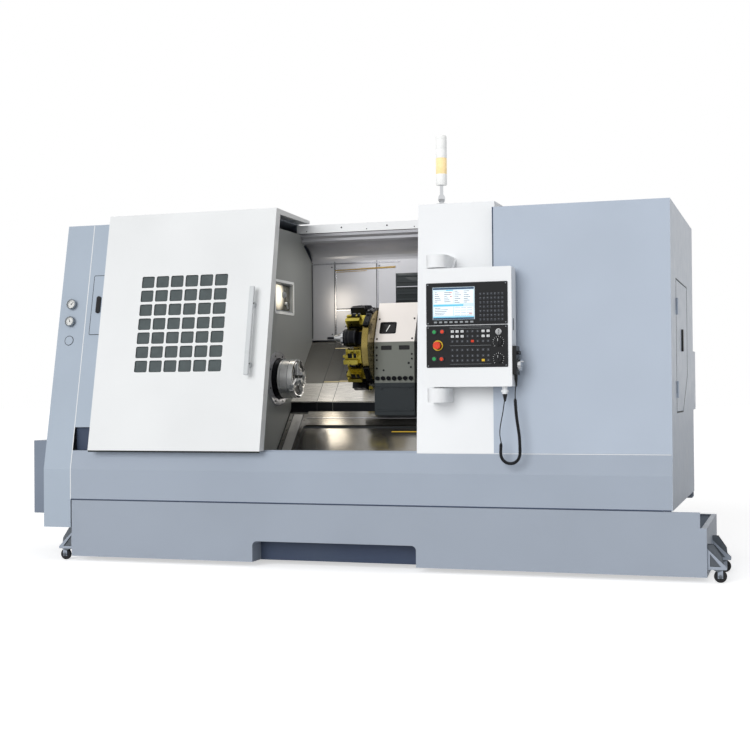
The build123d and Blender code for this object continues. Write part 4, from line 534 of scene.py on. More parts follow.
class StudioSettings(bpy.types.PropertyGroup):
    """Light and camera of the studio."""
    sky: FloatProperty(name="Sky", description="Strength of the even light from all round", default=0.43,
                       min=0)
    key: FloatProperty(name="Key", description="Strength of the soft lamp at the front", default=1.83, min=0)
    work: FloatProperty(name="Work light", description="Power of the lamp in the work space", unit="POWER",
                        default=0.5, min=0)
    lens: FloatProperty(name="Lens", description="Focal length in millimetres on a 36 mm sensor",
                        default=63.22)
    yaw: FloatProperty(name="Yaw", description="Turn of the view to the left", subtype="ANGLE",
                       default=math.radians(17.91))
    pitch: FloatProperty(name="Pitch", description="Tilt of the view upwards", subtype="ANGLE",
                         default=math.radians(0.70))
    roll: FloatProperty(name="Roll", description="Turn of the view about its own line", subtype="ANGLE",
                        default=math.radians(-0.46))


CAMERA_SPOT = (2.2754, -6.9913, 0.9087)  # in metres, fitted to the photo's straight edges


def light(name, kind, spot, turn=(0, 0, 0), **settings):
    """A lamp at a point of the drawing frame, turned by three angles in degrees, with its own settings."""
    lamp = bpy.data.lights.new(name, kind)
    for key, value in settings.items():
        setattr(lamp, key, value)
    holder = bpy.data.objects.new(name, lamp)
    holder.location = metres(spot)
    holder.rotation_euler = [math.radians(a) for a in turn]
    bpy.context.scene.collection.objects.link(holder)
    return holder


class LATHE_OT_stage(bpy.types.Operator):
    """Floor, sky, lamps and the camera"""
    bl_idname = "lathe.stage"
    bl_label = "Studio"

    def execute(self, context):
        look = context.scene.lathe_studio
        scene = context.scene
        scene.view_settings.view_transform = "Standard"
        world = bpy.data.worlds.new("soft white room")
        scene.world = world
        tree = emptied(world)
        path = add(tree, "LightPath").outputs
        seen = add(tree, "Math", {0: path["Is Camera Ray"], 1: path["Is Glossy Ray"]}, operation="MAXIMUM")
        seen = add(tree, "Math", {0: seen.outputs[0], 1: path["Is Transmission Ray"]}, operation="MAXIMUM")
        even = add(tree, "Background", {"Color": (1, 1, 1, 1), "Strength": look.sky})
        white = add(tree, "Background", {"Color": (1, 1, 1, 1), "Strength": 1.0})
        mixed = add(tree, "MixShader", {0: seen.outputs[0], 1: even.outputs[0], 2: white.outputs[0]})
        add(tree, "OutputWorld", {"Surface": mixed.outputs[0]})

        floor = bpy.data.materials.new("pale floor")
        tree = emptied(floor)
        path = add(tree, "LightPath").outputs
        base = add(tree, "BsdfDiffuse", {"Color": (0.86, 0.86, 0.86, 1)})
        # The camera sees a little light of the floor's own, which makes it as white as the room
        lift = add(tree, "Math", {0: path["Is Camera Ray"], 1: 0.56}, operation="MULTIPLY")
        glow = add(tree, "Emission", {"Color": (1, 1, 1, 1), "Strength": lift.outputs[0]})
        both = add(tree, "AddShader", {0: base.outputs[0], 1: glow.outputs[0]})
        add(tree, "OutputMaterial", {"Surface": both.outputs[0]})
        mesh = bpy.data.meshes.new("floor")
        far = 60  # metres, past all that the camera sees
        corners = [(-far, -far, 0), (far, -far, 0), (far, far, 0), (-far, far, 0)]
        mesh.from_pydata(corners, [], [(0, 1, 2, 3)])
        mesh.materials.append(floor)
        made = bpy.data.objects.new("floor", mesh)
        scene.collection.objects.link(made)

        lamp = light("key lamp", "SUN", (0, 0, 0), (72, 0, -12), energy=look.key, angle=math.radians(40))
        lamp.visible_glossy = False
        lamp = light("work light", "AREA", (1100, 420, 1435), (0, -68, 24), energy=look.work, size=0.2,
                     color=(1.0, 0.9, 0.75))
        lamp.visible_camera = False
        lamp = light("roof light", "AREA", (1480, 590, 1760), energy=look.work * 3, shape="RECTANGLE",
                     size=0.36, size_y=0.2, color=(1.0, 0.97, 0.92))
        lamp.visible_camera = False

        y, p, r = look.yaw, look.pitch, look.roll
        forward = Vector((-math.sin(y) * math.cos(p), math.cos(y) * math.cos(p), math.sin(p)))
        level = Vector((math.cos(y), math.sin(y), 0))
        above = level.cross(forward)
        right = level * math.cos(r) + above * math.sin(r)
        top = above * math.cos(r) - level * math.sin(r)
        data = bpy.data.cameras.new("view")
        data.lens, data.sensor_width = look.lens, 36.0
        data.clip_start, data.clip_end = 0.1, 200.0
        camera = bpy.data.objects.new("view", data)
        camera.matrix_world = Matrix((right, top, -forward)).transposed().to_4x4()
        camera.location = CAMERA_SPOT
        scene.collection.objects.link(camera)
        scene.camera = camera
        return {"FINISHED"}


class LATHE_OT_coats(bpy.types.Operator):
    """Makes the finishes and gives each solid of the frame its own"""
    bl_idname = "lathe.coats"
    bl_label = "Finishes"

    def execute(self, context):
        COAT.update(finishes(context.scene.lathe_colours))
        left = set(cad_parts)
        for name, nodes in CAD_FINISH.items():
            for node in nodes:
                left.discard(node)
                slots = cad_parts[node].data.materials
                if not slots:
                    slots.append(COAT[name])
                for i in range(len(slots)):
                    slots[i] = COAT[name]
        if left:
            raise RuntimeError(f"no finish for {sorted(left)}")
        return {"FINISHED"}


SLOPING = (0, -1, 1)   # outward from the covers on the bed
# How far out from the spindle's line the sloping faces are, as slant takes it
APRON, FIXED_COVER, MIDDLE_COVER, MOVING_COVER = -266.8, -234.2, -230.6, -227.0
LEANING = (0, -1, LEAN)  # outward from the door and the guards
OUT = np.array(LEANING) / math.hypot(1, LEAN)


def on_guard(x, z, proud=0.0):
    """A point on the leaning guards, proud of them along their normal."""
    return np.array([x, guard_y(z), z]) + OUT * proud


def on_door(x, z, proud=0.0):
    """A point on the door's face, proud of it along its normal."""
    return np.array([x, door_y(z), z]) + OUT * proud


def strip(start, end, width, height, normal):
    """A flat bar with softened edges between two points, on a face with the given normal."""
    a, b = np.asarray(start, float), np.asarray(end, float)
    length = np.linalg.norm(b - a)
    soft = min(width, height) * 0.25
    edge = [(0, 0), (0, height - soft), (soft, height)]
    return slab(oblong(width, length, soft, 2), edge, (a + b) / 2, normal, up=(b - a) / length)


def spoke(centre, normal, degrees, near, far, width, height):
    """A flat bar on a round face, from one radius to another; 0 degrees is the face's right, 90 its top."""
    right, up = axes(normal)[:2]
    way = right * math.cos(math.radians(degrees)) + up * math.sin(math.radians(degrees))
    return strip(centre + way * near, centre + way * far, width, height, normal)


class LATHE_OT_door(bpy.types.Operator):
    """Window rings of painted shade, handle with its screws, and a painted shadow under the sliding door"""
    bl_idname = "lathe.door"
    bl_label = "Door"

    def execute(self, context):
        pitch_x, pitch_z = 87.4, 78.6
        columns, rows = 6, 7
        hole = oblong(75.0, 64.6, 9.0)
        section = [(0.2, -2.9), (2.6, -2.9), (2.6, -0.6), (0.2, -0.6)]
        first = on_door(366 + 37.5, 1019 + 32.3 / math.hypot(1, LEAN))
        step = np.array([0, LEAN, 1]) / math.hypot(1, LEAN) * pitch_z
        places = [np.array([c * pitch_x, 0, 0]) + step * r for c in range(columns) for r in range(rows)]
        # Black rings inside each window hole: painted shade at the holes' edges
        seal = copies(slab(hole, section, first, LEANING, ring=True), places)
        piece("window_seals", [seal], "black seal", "door")

        x = 1043.0
        low, high = on_door(x, 990, 42), on_door(x, 1460, 42)
        grip = slab(oblong(27, np.linalg.norm(high - low), 5, 5), [(3, -9), (0, -6), (0, 6), (3, 9)],
                    (low + high) / 2, LEANING, up=high - low)
        posts = [turned([(10, 0), (10, 34)], on_door(x, z), LEANING, 24) for z in (1049, 1368)]
        feet = [turned([(16, 0), (16, 3), (15, 4)], on_door(x, z), LEANING, 28) for z in (1049, 1368)]
        shown = piece("door_grip", [grip, *posts, *feet], "satin handle", "door")
        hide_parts("door_handle")
        pins = [screw(on_door(x + 13.5, z, 42), RIGHT, 4.5, 2.0) for z in (1049, 1368)]
        # A black strip along the door's bottom edge: painted shadow of the door on the sill
        low_y = door_y(602)
        piece("door_lip", [bar((131, low_y + 1, 593), (1129, low_y + 10, 601.9))], "black seal", "door")
        piece("door_grip_screws", pins, "black oxide", "door")
        return {"FINISHED"}


class LATHE_OT_guards(bpy.types.Operator):
    """White seam strips and a painted highlight along the sill, navy strips painted as shade in gaps and a
    recess, hatch seal and latch, gauges and plug on the guards
    """
    bl_idname = "lathe.guards"
    bl_label = "Guards"

    def execute(self, context):
        seams = [strip(on_guard(0.2, BEVEL_Z), on_guard(0.2, 1857), 4.5, 0.9, LEANING),
                 strip((0.2, 0, 334), (0.2, 0, BEVEL_Z), 4.5, 0.9, FRONT),
                 # The third strip, along the sill's front edge, is a painted highlight on that edge; the
                 # first two are trim seams
                 strip((1960, guard_y(596), 596), (3209, guard_y(596), 596), 3.0, 1.0, LEANING)]
        piece("white_seams", seams, "white powder coat", "machine")

        # Navy strips in the recess under the door, along the skirt's lower edge and at the back of the
        # tank's notch: painted shade in gaps and recesses
        piece("recess_panel", [bar((1.5, 64.5, 599), (1070, 67, 723.4), 0.5)], "navy gap paint", "machine")
        piece("skirt_seal", [bar((1.5, -0.9, 330.3), (3208, 2, 336.5), 0.5)], "navy gap paint", "machine")
        piece("notch_back", [bar((1075, 106, 27), (1952, 109, 133), 0.5)], "navy gap paint", "tank")
        middle = on_guard(184, 1400.5, 2.0)
        hatch = oblong(300, 336, 6)
        section = [(0.2, -1.5), (-3.0, -1.5), (-3.0, 0.3), (0.2, 0.3)]
        piece("hatch_seal", [slab(hatch, section, middle, LEANING, ring=True)], "black seal", "machine")
        latch = [slab(oblong(24, 95, 11.9, 8), [(-0.5, -1.0), (-0.5, 9.5), (2, 11)],
                      on_guard(76, 1400.5, 2.0), LEANING),
                 turned([(6, 0), (6, 12), (5, 13)], on_guard(76, 1430, 2.0), LEANING, 20)]
        piece("hatch_latch", latch, "black plastic", "machine")

        bezels, dials, ticks, needles = [], [], [], []
        for z, turn in ((1406.0, -40.0), (1309.0, 25.0)):
            at = on_guard(-90, z)
            rim = [(25, 0), (25, 5), (28.4, 7), (29, 12), (28.6, 20), (26.5, 22.5), (23.5, 22), (22.5, 15)]
            spots, blocks = turned(rim, at, LEANING, 72)
            # Twelve soft waves round the rim: each point moves off or towards the middle by up to 3 percent
            height = ((spots - at) @ OUT)[:, None] * OUT
            flat = spots - at - height
            right, up = axes(LEANING)[:2]
            wave = 1 + 0.03 * np.cos(12 * np.arctan2(flat @ up, flat @ right))
            bezels.append((at + height + flat * wave[:, None], blocks))
            dials.append(turned([(22.6, 12), (22.6, 15.2)], at, LEANING, 40))
            ticks += [spoke(at + OUT * 15.2, LEANING, 225 - 27 * k, 15, 20, 1.6, 0.4) for k in range(11)]
            needles += [spoke(at + OUT * 15.4, LEANING, 90 + turn, -5, 17, 2.2, 0.8),
                        turned([(3, 15.2), (3, 17), (2, 17.6)], at, LEANING, 16)]
        shown = piece("gauge_bezels", bezels, "gauge bezel", "machine")
        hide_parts("pressure_gauges")
        piece("gauge_dials", dials, "dial face", "machine")
        piece("gauge_ticks", ticks, "black plastic", "machine")
        piece("gauge_needles", needles, "black plastic", "machine")
        plug = on_guard(-90, 1204)
        piece("plug_disc", [turned([(24.5, 0), (24.5, 1.8), (23.5, 2.6)], plug, LEANING, 48)],
              "blue grey powder coat", "machine")
        piece("plug_ring",
              [turned([(24.8, 0.1), (27.6, 0.1), (27.6, 1.2), (24.8, 1.2)], plug, LEANING, 48, ring=True)],
              "black seal", "machine")
        return {"FINISHED"}


def across(low_x, high_x, along, out, width, height):
    """A strip along X on the bed's slope."""
    return strip((low_x, *slant(along, out)), (high_x, *slant(along, out)), width, height, SLOPING)


class LATHE_OT_workspace(bpy.types.Operator):
    """Lining seams and screws, louvre panel, lamp, and the seals and wipers of the way covers, with painted
    reflections and painted shade on the covers
    """
    bl_idname = "lathe.workspace"
    bl_label = "Work space"

    def execute(self, context):
        wall = 881.8
        seams = [strip((x, wall, 1216), (x, wall, 1660), 5, 1.2, FRONT) for x in (1084.5, 1223, 1479)]
        seams += [strip((1226, wall, 1386), (1476, wall, 1386), 5, 1.0, FRONT)]
        piece("lining_seams", seams, "black seal", "machine")
        flanges = [strip((x + 6, wall, 1216), (x + 6, wall, 1660), 7, 3.0, FRONT) for x in (1223, 1479)]
        flanges += [strip((1082, wall, 1650), (1620, wall, 1650), 8, 2.6, FRONT),
                    strip((1230, wall, 1379), (1475, wall, 1379), 7, 2.0, FRONT)]
        piece("lining_flanges", flanges, "stainless liner", "machine")
        wipers = [strip((1226, wall, 1611), (1593, wall, 1618), 6, 5.0, FRONT),
                  strip((1380, wall, 1616), (1593, wall, 1622), 4, 7.0, FRONT),
                  strip((1229, wall, 1600), (1420, wall, 1604), 3, 3.0, FRONT)]
        piece("brass_strips", wipers, "brass", "machine")

        louvre = [pad(364, 170, 3, (1776, wall, 1497), FRONT, 3)]
        louvre += [strip((1600, wall - 3, z), (1950, wall - 3, z), 10, 5.0, FRONT)
                   for z in range(1430, 1576, 34)]
        piece("louvre_panel", louvre, "dark machine paint", "machine")
        piece("louvre_rail", [strip((1600, wall - 8, 1503), (1950, wall - 8, 1503), 6, 4.0, FRONT)],
              "stainless liner", "machine")
        heads = [screw((x, wall, z), FRONT, 4.0, 2.0, 12) for x in (1206, 1496) for z in (1240, 1630)]
        heads += [screw((x, 699.9, 1836), FRONT, 4.5, 2.0, 12) for x in (1330, 1600, 1820, 1935)]
        heads += [screw((x, 699.9, 1822), FRONT, 3.0, 1.5, 12) for x in (1120, 1480, 1760)]
        piece("lining_screws", heads, "black oxide", "machine")

        at = (1080.2, 451, 1430)
        ring = [slab(oblong(286, 188, 8), [(0, 0), (0, 2.4), (14, 2.4), (14, 0)], at, RIGHT, ring=True)]
        piece("lamp_frame", ring, "white powder coat", "machine")
        lens = [slab(oblong(236, 138, 14, 6), [(0, 0), (0, 4), (4, 7)], (1058.3, 451, 1430), RIGHT)]
        piece("lamp_lens", lens, "lamp glass", "machine")
        arm = [turned([(9, 0), (9, 10), (6, 12)], (1065, 500, 1400), RIGHT, 24),
               run([(1068, 500 + 30 * t, 1400 - 26 * t * t) for t in np.linspace(0, 1, 9)], circle(5, 12),
                   up=RIGHT),
               turned([(17, 0), (19, 6), (14, 16), (5, 20)], (1063, 470, 1446), RIGHT, 32)]
        piece("lamp_arm", arm, "grey plastic", "machine")
        # The covers' left edges, the apron's seals, painted reflections on the covers' slopes and painted
        # shade on their fronts, wipers and beads
        for name, body, x, low, level in (("middle", "middle_cover", 1234.6, 50, FIXED_COVER),
                                          ("moving", "saddle", 1328.8, 47, MIDDLE_COVER)):
            edge = strip((x, *slant(low, level + 0.4)), (x, *slant(545, level + 0.4)), 3.4, 1.6, SLOPING)
            piece(f"{name}_cover_seal", [edge], "black seal", body)
        dark = [across(1194, 1956, -112, APRON, 13, 1.4)]
        dark += [strip((x, *slant(-285, APRON)), (x, *slant(-10, APRON)), 3.0, 2.4, SLOPING)
                 for x in (1083.5, 1105.5, 1164, 1190.5)]
        for name, body, x0, x1, out in (("fixed", "machine", 1081, 1393, FIXED_COVER),
                                        ("middle", "middle_cover", 1237, 1489, MIDDLE_COVER),
                                        ("moving", "saddle", 1331, 1598, MOVING_COVER)):
            low, high = 50 - (out - MOVING_COVER), 198
            y = slant(low - 4, out)[0]
            # A pale sheet over the lower part of each cover's slope: painted reflection of the room above
            glare_sheet = slab(oblong(x1 - x0, high - low, 1, 2), [(0, 0), (0, 0.2), (0.1, 0.3)],
                       ((x0 + x1) / 2, *slant((low + high) / 2, out + 0.05)), SLOPING)
            piece(f"{name}_cover_lip", [glare_sheet], "bright lip", body)
            # Black strips over the covers' upright fronts: painted shade, where the fronts lie in shadow
            front = bar((x0, y - 0.45, 794), (x1, y - 0.1, 848), 0.1)
            piece(f"{name}_cover_front", [front], "black oxide", body)
        piece("cover_seals", dark, "black seal", "machine")
        edge = [(0, 0), (0, 0.5), (0.5, 0.9)]
        plate = slab(oblong(55, 268, 2), edge, (1135, *slant(-148, APRON)), SLOPING)
        piece("bright_plate", [plate], "polished sheet", "machine")
        for name, finish, body, *place in (
                ("apron_bead", "stainless liner", "machine", 1196, 1956, -50, -256.9, 5, 1.6),
                ("middle_wiper", "pale wiper", "middle_cover", 1238, 1326, 206, MIDDLE_COVER, 9, 0.3),
                ("moving_wiper", "pale wiper", "saddle", 1331, 1598, 206, -226.9, 9, 1.2),
                ("top_wiper", "pale wiper", "middle_cover", 1238, 1326, 481, MIDDLE_COVER, 6, 0.3),
                ("yellow_bead", "yellow plastic", "machine", 1703, 1905, -143.3, -266.9, 5, 2.0)):
            piece(name, [across(*place)], finish, body)
        # Eight screws on a circle about the spindle
        radius = 131
        spots = [(1092.0, SPINDLE_Y + radius * math.cos(a), SPINDLE_Z + radius * math.sin(a))
                 for a in np.radians(np.arange(8) * 45 + 22.5)]
        piece("ring_screws", [screw(spot, RIGHT, 5.5, 1.5) for spot in spots], "black oxide", "machine")
        return {"FINISHED"}


class LATHE_OT_turret(bpy.types.Operator):
    """Window, slots and screws of the turret, and the edges of its slide"""
    bl_idname = "lathe.turret"
    bl_label = "Turret"

    def execute(self, context):
        middle = 1728.5
        lean = math.atan2(100.0, 214.0)
        out = np.array([0, -math.cos(lean), math.sin(lean)])
        up = np.array([0, math.sin(lean), math.cos(lean)])
        face = np.array([middle, 432.0, 1240.5])
        at = face + np.array([-44, 0, 0]) + up * 8
        piece("turret_window", [slab(oblong(84, 62, 7), [(0, -4.8), (0, -2.2), (1, -1.6)], at, out)],
              "black plastic", "cross_slide")
        piece("turret_window_rim",
              [slab(oblong(92, 70, 10), [(0, 0), (0, 1.6), (5, 1.6), (5, 0)], at, out, ring=True)],
              "black oxide", "cross_slide")
        # A pale strip slanted across the black window: a painted glint of light on its glass
        glint_strip = strip(at - up * 22 + out * -1.4, at + up * 20 + out * -1.4, 5, 0.6, out)
        piece("turret_window_pointer", [about(glint_strip, at, out, -24)], "dial face", "cross_slide")
        slots = [slab(oblong(58, 22, 3), [(0, -5.8), (0, -1.2)], (middle + x, 400, 1140), FRONT)
                 for x in (-44, 56)]
        slots += [turned([(6.9, -5.8), (6.9, -1.0)], (middle + x, 400, z), FRONT, 20)
                  for x, z in ((-98, 1142), (80, 1057))]
        piece("turret_slots", slots, "black plastic", "cross_slide")
        heads = [screw((middle + x, 400, z), FRONT, 5, 3) for x, z in
                 ((-98, 1100), (-98, 1075), (-98, 1030), (-60, 1020), (98, 1105), (98, 1080), (92, 1035))]
        heads += [screw(face + np.array([x, 0, 0]) + up * y, out, 5, 3) for x in (-98, 98)
                  for y in (62, -58)]
        piece("turret_screws", heads, "black oxide", "cross_slide")
        caps = [screw((middle + (i - 3) * 31, 400, 976.6), FRONT, 11.3, 13.0, 24) for i in range(7)]
        piece("turret_cap_screws", caps, "black oxide", "cross_slide")
        edges = [strip((1624, 400, z), (1833, 400, z), 9, 5.0, FRONT) for z in (806, 930)]
        piece("slide_edges", edges, "dark machine paint", "cross_slide")
        return {"FINISHED"}


class LATHE_OT_tools(bpy.types.Operator):
    """Clamp blocks, some of them painted shade over the disc's lower rim, nuts, pockets, inserts and screws
    of the tool stations, and the chuck's face and rim
    """
    bl_idname = "lathe.tools"
    bl_label = "Tools"

    def execute(self, context):
        middle_y, middle_z = slant(226.3, 8.0)
        ways = {n: np.array([0, math.cos(a), math.sin(a)])
                for n, a in enumerate(np.radians(225.0 + 30.0 * np.arange(12)))}
        along = np.array([1.0, 0, 0])

        def station(number, x, side, out):
            """A point of a tool station: x along the spindle, sideways, and out from the turret's axis."""
            way = ways[number]
            return np.array([x, middle_y, middle_z]) + way * out + np.cross(way, along) * side

        def ridge(start, angle, radius, ends, width, height):
            """A strip along the spindle on a round side, from one end to the other."""
            out = np.array([0, math.cos(angle), math.sin(angle)])
            first, last = (start + out * radius + along * x for x in ends)
            return strip(first, last, width, height, out)

        # Black blocks at stations 7, 8 and 9 match black parts over the disc's rim at the top; those at 0, 1
        # and 2 cover the lower rim, which lies in shade: painted shade
        blocks = [slab(oblong(32, 96, 3), [(0, 0.3), (0, 9), (3, 12)], station(n, 1596, 0, 200), ways[n],
                       up=np.cross(ways[n], along)) for n in (7, 8, 9, 0, 1, 2)]
        piece("clamp_blocks", blocks, "black oxide", "turret")
        heads = [screw(station(n, 1596, s, 211.5), ways[n], 7, 4) for n in (7, 8, 9, 0, 1, 2)
                 for s in (-30, 30)]
        noses, pins, rings = [], [], []
        for n in (3, 5, 10):
            start = station(n, 1483, 0, 184)
            nut = [(29, -0.6), (36.9, 0), (36.9, 15.4), (34, 16.8), (29, 17), (16.8, 58.6), (7.4, 59)]
            noses.append(turned(nut, start, (-1, 0, 0), 44))
            rings += [ridge(start, a, 37.2, (-2.0, -14.0), 4.0, 1.4)
                      for a in np.radians(np.arange(0, 360, 45))]
            pins.append(turned([(6.6, 58), (6.6, 96), (5, 99)], start, (-1, 0, 0), 20))
            band = [(47, -2), (47.7, -2), (47.7, 2), (47, 2)]
            rings += [turned(band, start + np.array([x, 0, 0]), (-1, 0, 0), 44, ring=True)
                      for x in (12, 30, 62)]
        piece("tool_nuts", noses, "ground steel", "turret")
        piece("tool_pins", pins, "pale brass", "turret")
        piece("tool_rings", rings, "black plastic", "turret")
        pockets, inserts = [], []
        for n in (0, 1, 2, 4, 6, 7, 8, 9, 11):
            way, over = ways[n], np.cross(ways[n], along)
            for x, size in ((1524, 24), (1552, 16)):
                pockets.append(slab(oblong(size, 26, 3, 3), [(0, 0), (0, 0.7), (0.5, 1)],
                                    station(n, x, 11, 231), way, up=over))
            heads += [screw(station(n, x, -25, 204.2 + 6), way, 5.6, 3) for x in (1549, 1523)]
            for side in (1, -1):
                pockets.append(slab(oblong(60, 14, 3, 3), [(0, 0), (0, 0.6), (0.4, 0.9)],
                                    station(n, 1528, 36 * side, 182), over * side, up=way))
                heads += [screw(station(n, x, 36 * side, 170), over * side, 4.6, 2.4) for x in (1500, 1556)]
            inserts.append(slab(oblong(13, 13, 1.5, 3), [(0, 0), (0, 16), (1, 17)],
                                station(n, 1491, -24, 188), -along, up=way))
        piece("holder_pockets", pockets, "black oxide", "turret")
        piece("holder_screws", heads, "black oxide", "turret")
        piece("tool_shanks", inserts, "ground steel", "turret")

        def sectors(x, small, large, reach, edge):
            """Plates between the chuck's jaw slots: arcs of two radii, reaching some degrees each way."""
            plates = []
            for a in (30, 150, 270):
                turn = np.radians(np.linspace(a - reach, a + reach, 16))
                arc = np.stack([np.cos(turn), np.sin(turn)], 1)
                plates.append(slab(np.concatenate([arc * large, arc[::-1] * small]), edge,
                                   (x, SPINDLE_Y, SPINDLE_Z), along))
            return plates

        piece("chuck_face", sectors(1192, 35, 86.5, 37, [(0, 0.1), (0, 0.8)]), "black oxide", "spindle")
        drum = [(104.4, 1.0), (105.2, 1.6), (105.2, 57.4), (104.4, 58.0)]
        foot = (1120, SPINDLE_Y, SPINDLE_Z)
        piece("chuck_drum", [turned(drum, foot, along, 96, ring=True)], "turned steel", "spindle")
        rim = sectors(1205.4, 88.6, 104.4, 46, [(0, 0), (0, 0.5), (0.4, 0.8)])
        rim += [turned([(105, x), (105.7, x), (105.7, x + 3), (105, x + 3)], foot, along, 72, ring=True)
                for x in (12, 54)]
        piece("chuck_rings", rim, "chromed steel", "spindle")
        return {"FINISHED"}


class LATHE_OT_tower(bpy.types.Operator):
    """Signal tower: flange, ball joint, pole and its stacked lenses"""
    bl_idname = "lathe.tower"
    bl_label = "Signal tower"

    def execute(self, context):
        x, y = 2070, 130
        base = turned([(31, 1850.2), (31, 1854), (29, 1856), (14, 1858), (12, 1862)], (x, y, 0), UP, 48)
        ball = turned([(8, 1860), (14, 1866), (17.5, 1875), (18, 1884), (16, 1894), (10, 1902), (8.6, 1906),
                       (8.6, 1948), (12, 1952), (12, 1956)], (x, y, 0), UP, 48)
        shown = piece("tower_stand", [base, ball], "chromed steel", "machine")
        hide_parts("signal_tower")
        foot = turned([(26, 1950), (28, 1953), (28, 2002), (27, 2006)], (x, y, 0), UP, 56)
        top = [(27, 2087), (28, 2090), (28, 2128), (27, 2130), (27, 2132), (28, 2134), (28, 2178),
               (27, 2182),
               (28, 2184), (28, 2196), (24, 2202), (12, 2204)]
        piece("tower_white", [foot, turned(top, (x, y, 0), UP, 56)], "tower lens", "machine")
        ribs = [(26.5, 2006), (27.8, 2008), (27.8, 2084), (26.5, 2087)]
        piece("tower_amber", [turned(ribs, (x, y, 0), UP, 56)], "amber lens", "machine")
        return {"FINISHED"}


class LATHE_OT_pendant(bpy.types.Operator):
    """Screen picture, keys, rings and scales of the control pendant"""
    bl_idname = "lathe.pendant"
    bl_label = "Pendant"

    def execute(self, context):
        face = -118.0
        seat = face + 2.0
        screen_x, screen_z = 2190.9, 1332.4
        knob_x, knobs = 2412, {"feed_knob": 1141, "speed_knob": 1060}
        # The screen: a bright panel with plain bars for its head line, table and soft key names
        glass = pad(210, 157, 1.2, (screen_x, seat, screen_z), FRONT, 1.5, 0.4)
        piece("screen_glass", [glass], "screen glass", "pendant")
        lit = seat - 1.2
        left, top = 2088.0, 1409.0

        def bars(name, cells, finish, thick=0.4):
            """Flat marks on the screen: each is left, top, width and height from the screen's corner."""
            made = [pad(w, h, thick, (left + x + w / 2, lit, top - y - h / 2), FRONT, 0.5, 0.1, steps=2)
                    for x, y, w, h in cells]
            piece(name, made, finish, "pendant")

        bars("screen_head", [(0, 0, 205, 9), (0, 146, 205, 8)], "screen navy")
        bars("screen_cyan", [(2, 82, 150, 8), (66, 11, 34, 4), (0, 141, 205, 4)], "screen cyan")
        bars("screen_pale", [(104, 13, 98, 64), (4, 18, 96, 60), (4, 94, 96, 42), (106, 94, 96, 42)],
             "screen pale")
        lines = [(8 + 48 * c, 22 + 9 * r, 14 + (r * 29 + c * 17) % 24, 2.2) for r in range(6)
                 for c in range(2)]
        lines += [(108 + 46 * c, 17 + 9 * r, 16 + (r * 31 + c * 13) % 22, 2.2) for r in range(7)
                  for c in range(2)]
        lines += [(8, 98 + 8 * r, 30 + (r * 37) % 44, 2.0) for r in range(5)]
        lines += [(110 + 30 * c, 98 + 12 * r, 26, 1.2) for c in range(3) for r in range(4)]
        lines += [(8 + 24 * c, 148, 15, 2.2) for c in range(8)]
        bars("screen_lines", lines, "screen navy", 0.7)
        red = [(84, 23, 12, 3), (84, 41, 12, 3), (180, 126, 16, 3)]
        bars("screen_marks", red, "red button plastic", 0.8)

        key = pad(12.4, 13.4, 1.9, (0, face, 0), FRONT, 1.6, 0.7, steps=3)
        spots = [(2325 + 18 * c, 0, 1374 - 20.7 * r) for c in range(7) for r in range(7)]
        piece("field_keys", [copies(key, spots)], "dark key plastic", "pendant")
        mark = pad(5.0, 1.6, 0.3, (0, face - 1.9, 0), FRONT, 0.3, 0.1, steps=2)
        short = pad(2.6, 1.6, 0.3, (0, face - 1.9, -3), FRONT, 0.3, 0.1, steps=2)
        piece("field_key_marks",
              [copies(mark, [(x, 0, z + 2) for x, _, z in spots]), copies(short, spots[::2])],
              "grey plastic", "pendant")
        soft = pad(15.6, 8.6, 1.8, (0, face, 1241), FRONT, 1.2, 0.6, steps=3)
        spots = [(screen_x + 26 * (i - 3.5), 0, 0) for i in range(8)]
        piece("soft_keys", [copies(soft, spots)], "grey plastic", "pendant")
        section = [(0, 0), (0, 1.2), (3.5, 1.2), (3.5, 0)]
        rim = slab(oblong(219, 166, 4), section, (screen_x, face, screen_z), FRONT, ring=True)
        piece("screen_rim", [rim], "dark key plastic", "pendant")

        columns = (2184, 2208, 2233, 2260, 2284, 2310, 2337, 2362)
        rows = (1195, 1171, 1147, 1105, 1077, 1054)
        lamp = pad(14.6, 11.6, 1.5, (0, face, 0), FRONT, 1.2, 0.5, steps=3)
        white = [(c, r) for r in (0, 1) for c in (0, 1, 2, 6, 7)]
        special = {(4, 2): "red button plastic", (6, 5): "yellow plastic"}
        dark = [(c, r) for c in range(8) for r in range(6) if (c, r) not in white and (c, r) not in special]

        def at(cells):
            return [(columns[c], 0, rows[r]) for c, r in cells]

        piece("panel_keys_white", [copies(lamp, at(white))], "white key plastic", "pendant")
        piece("panel_keys_dark", [copies(lamp, at(dark))], "dark key plastic", "pendant")
        for cell, finish in special.items():
            piece(f"panel_key_{finish.split()[0]}", [copies(lamp, at([cell]))], finish, "pendant")
        dot = turned([(1.6, 0), (1.6, 0.4)], (0, face - 1.5, 0), FRONT, 12)
        dash = pad(6, 1.4, 0.35, (0, face - 1.5, -2.6), FRONT, 0.3, 0.1, steps=2)
        piece("panel_key_marks_dark",
              [copies(dash, at(white)), copies(dot, [(x, 0, z + 1.5) for x, _, z in at(white)])],
              "black plastic", "pendant")
        piece("panel_key_marks_pale",
              [copies(dash, at(dark)), copies(dot, [(x, 0, z + 1.5) for x, _, z in at(dark)])],
              "grey plastic", "pendant")
        lines = [strip((2170, face, z), (2376, face, z), width, width / 2, FRONT)
                 for z, width in ((1209, 1.0), (1126, 1.0), (1216, 0.8), (1036, 0.8))]
        piece("panel_lines", lines, "grey plastic", "pendant")

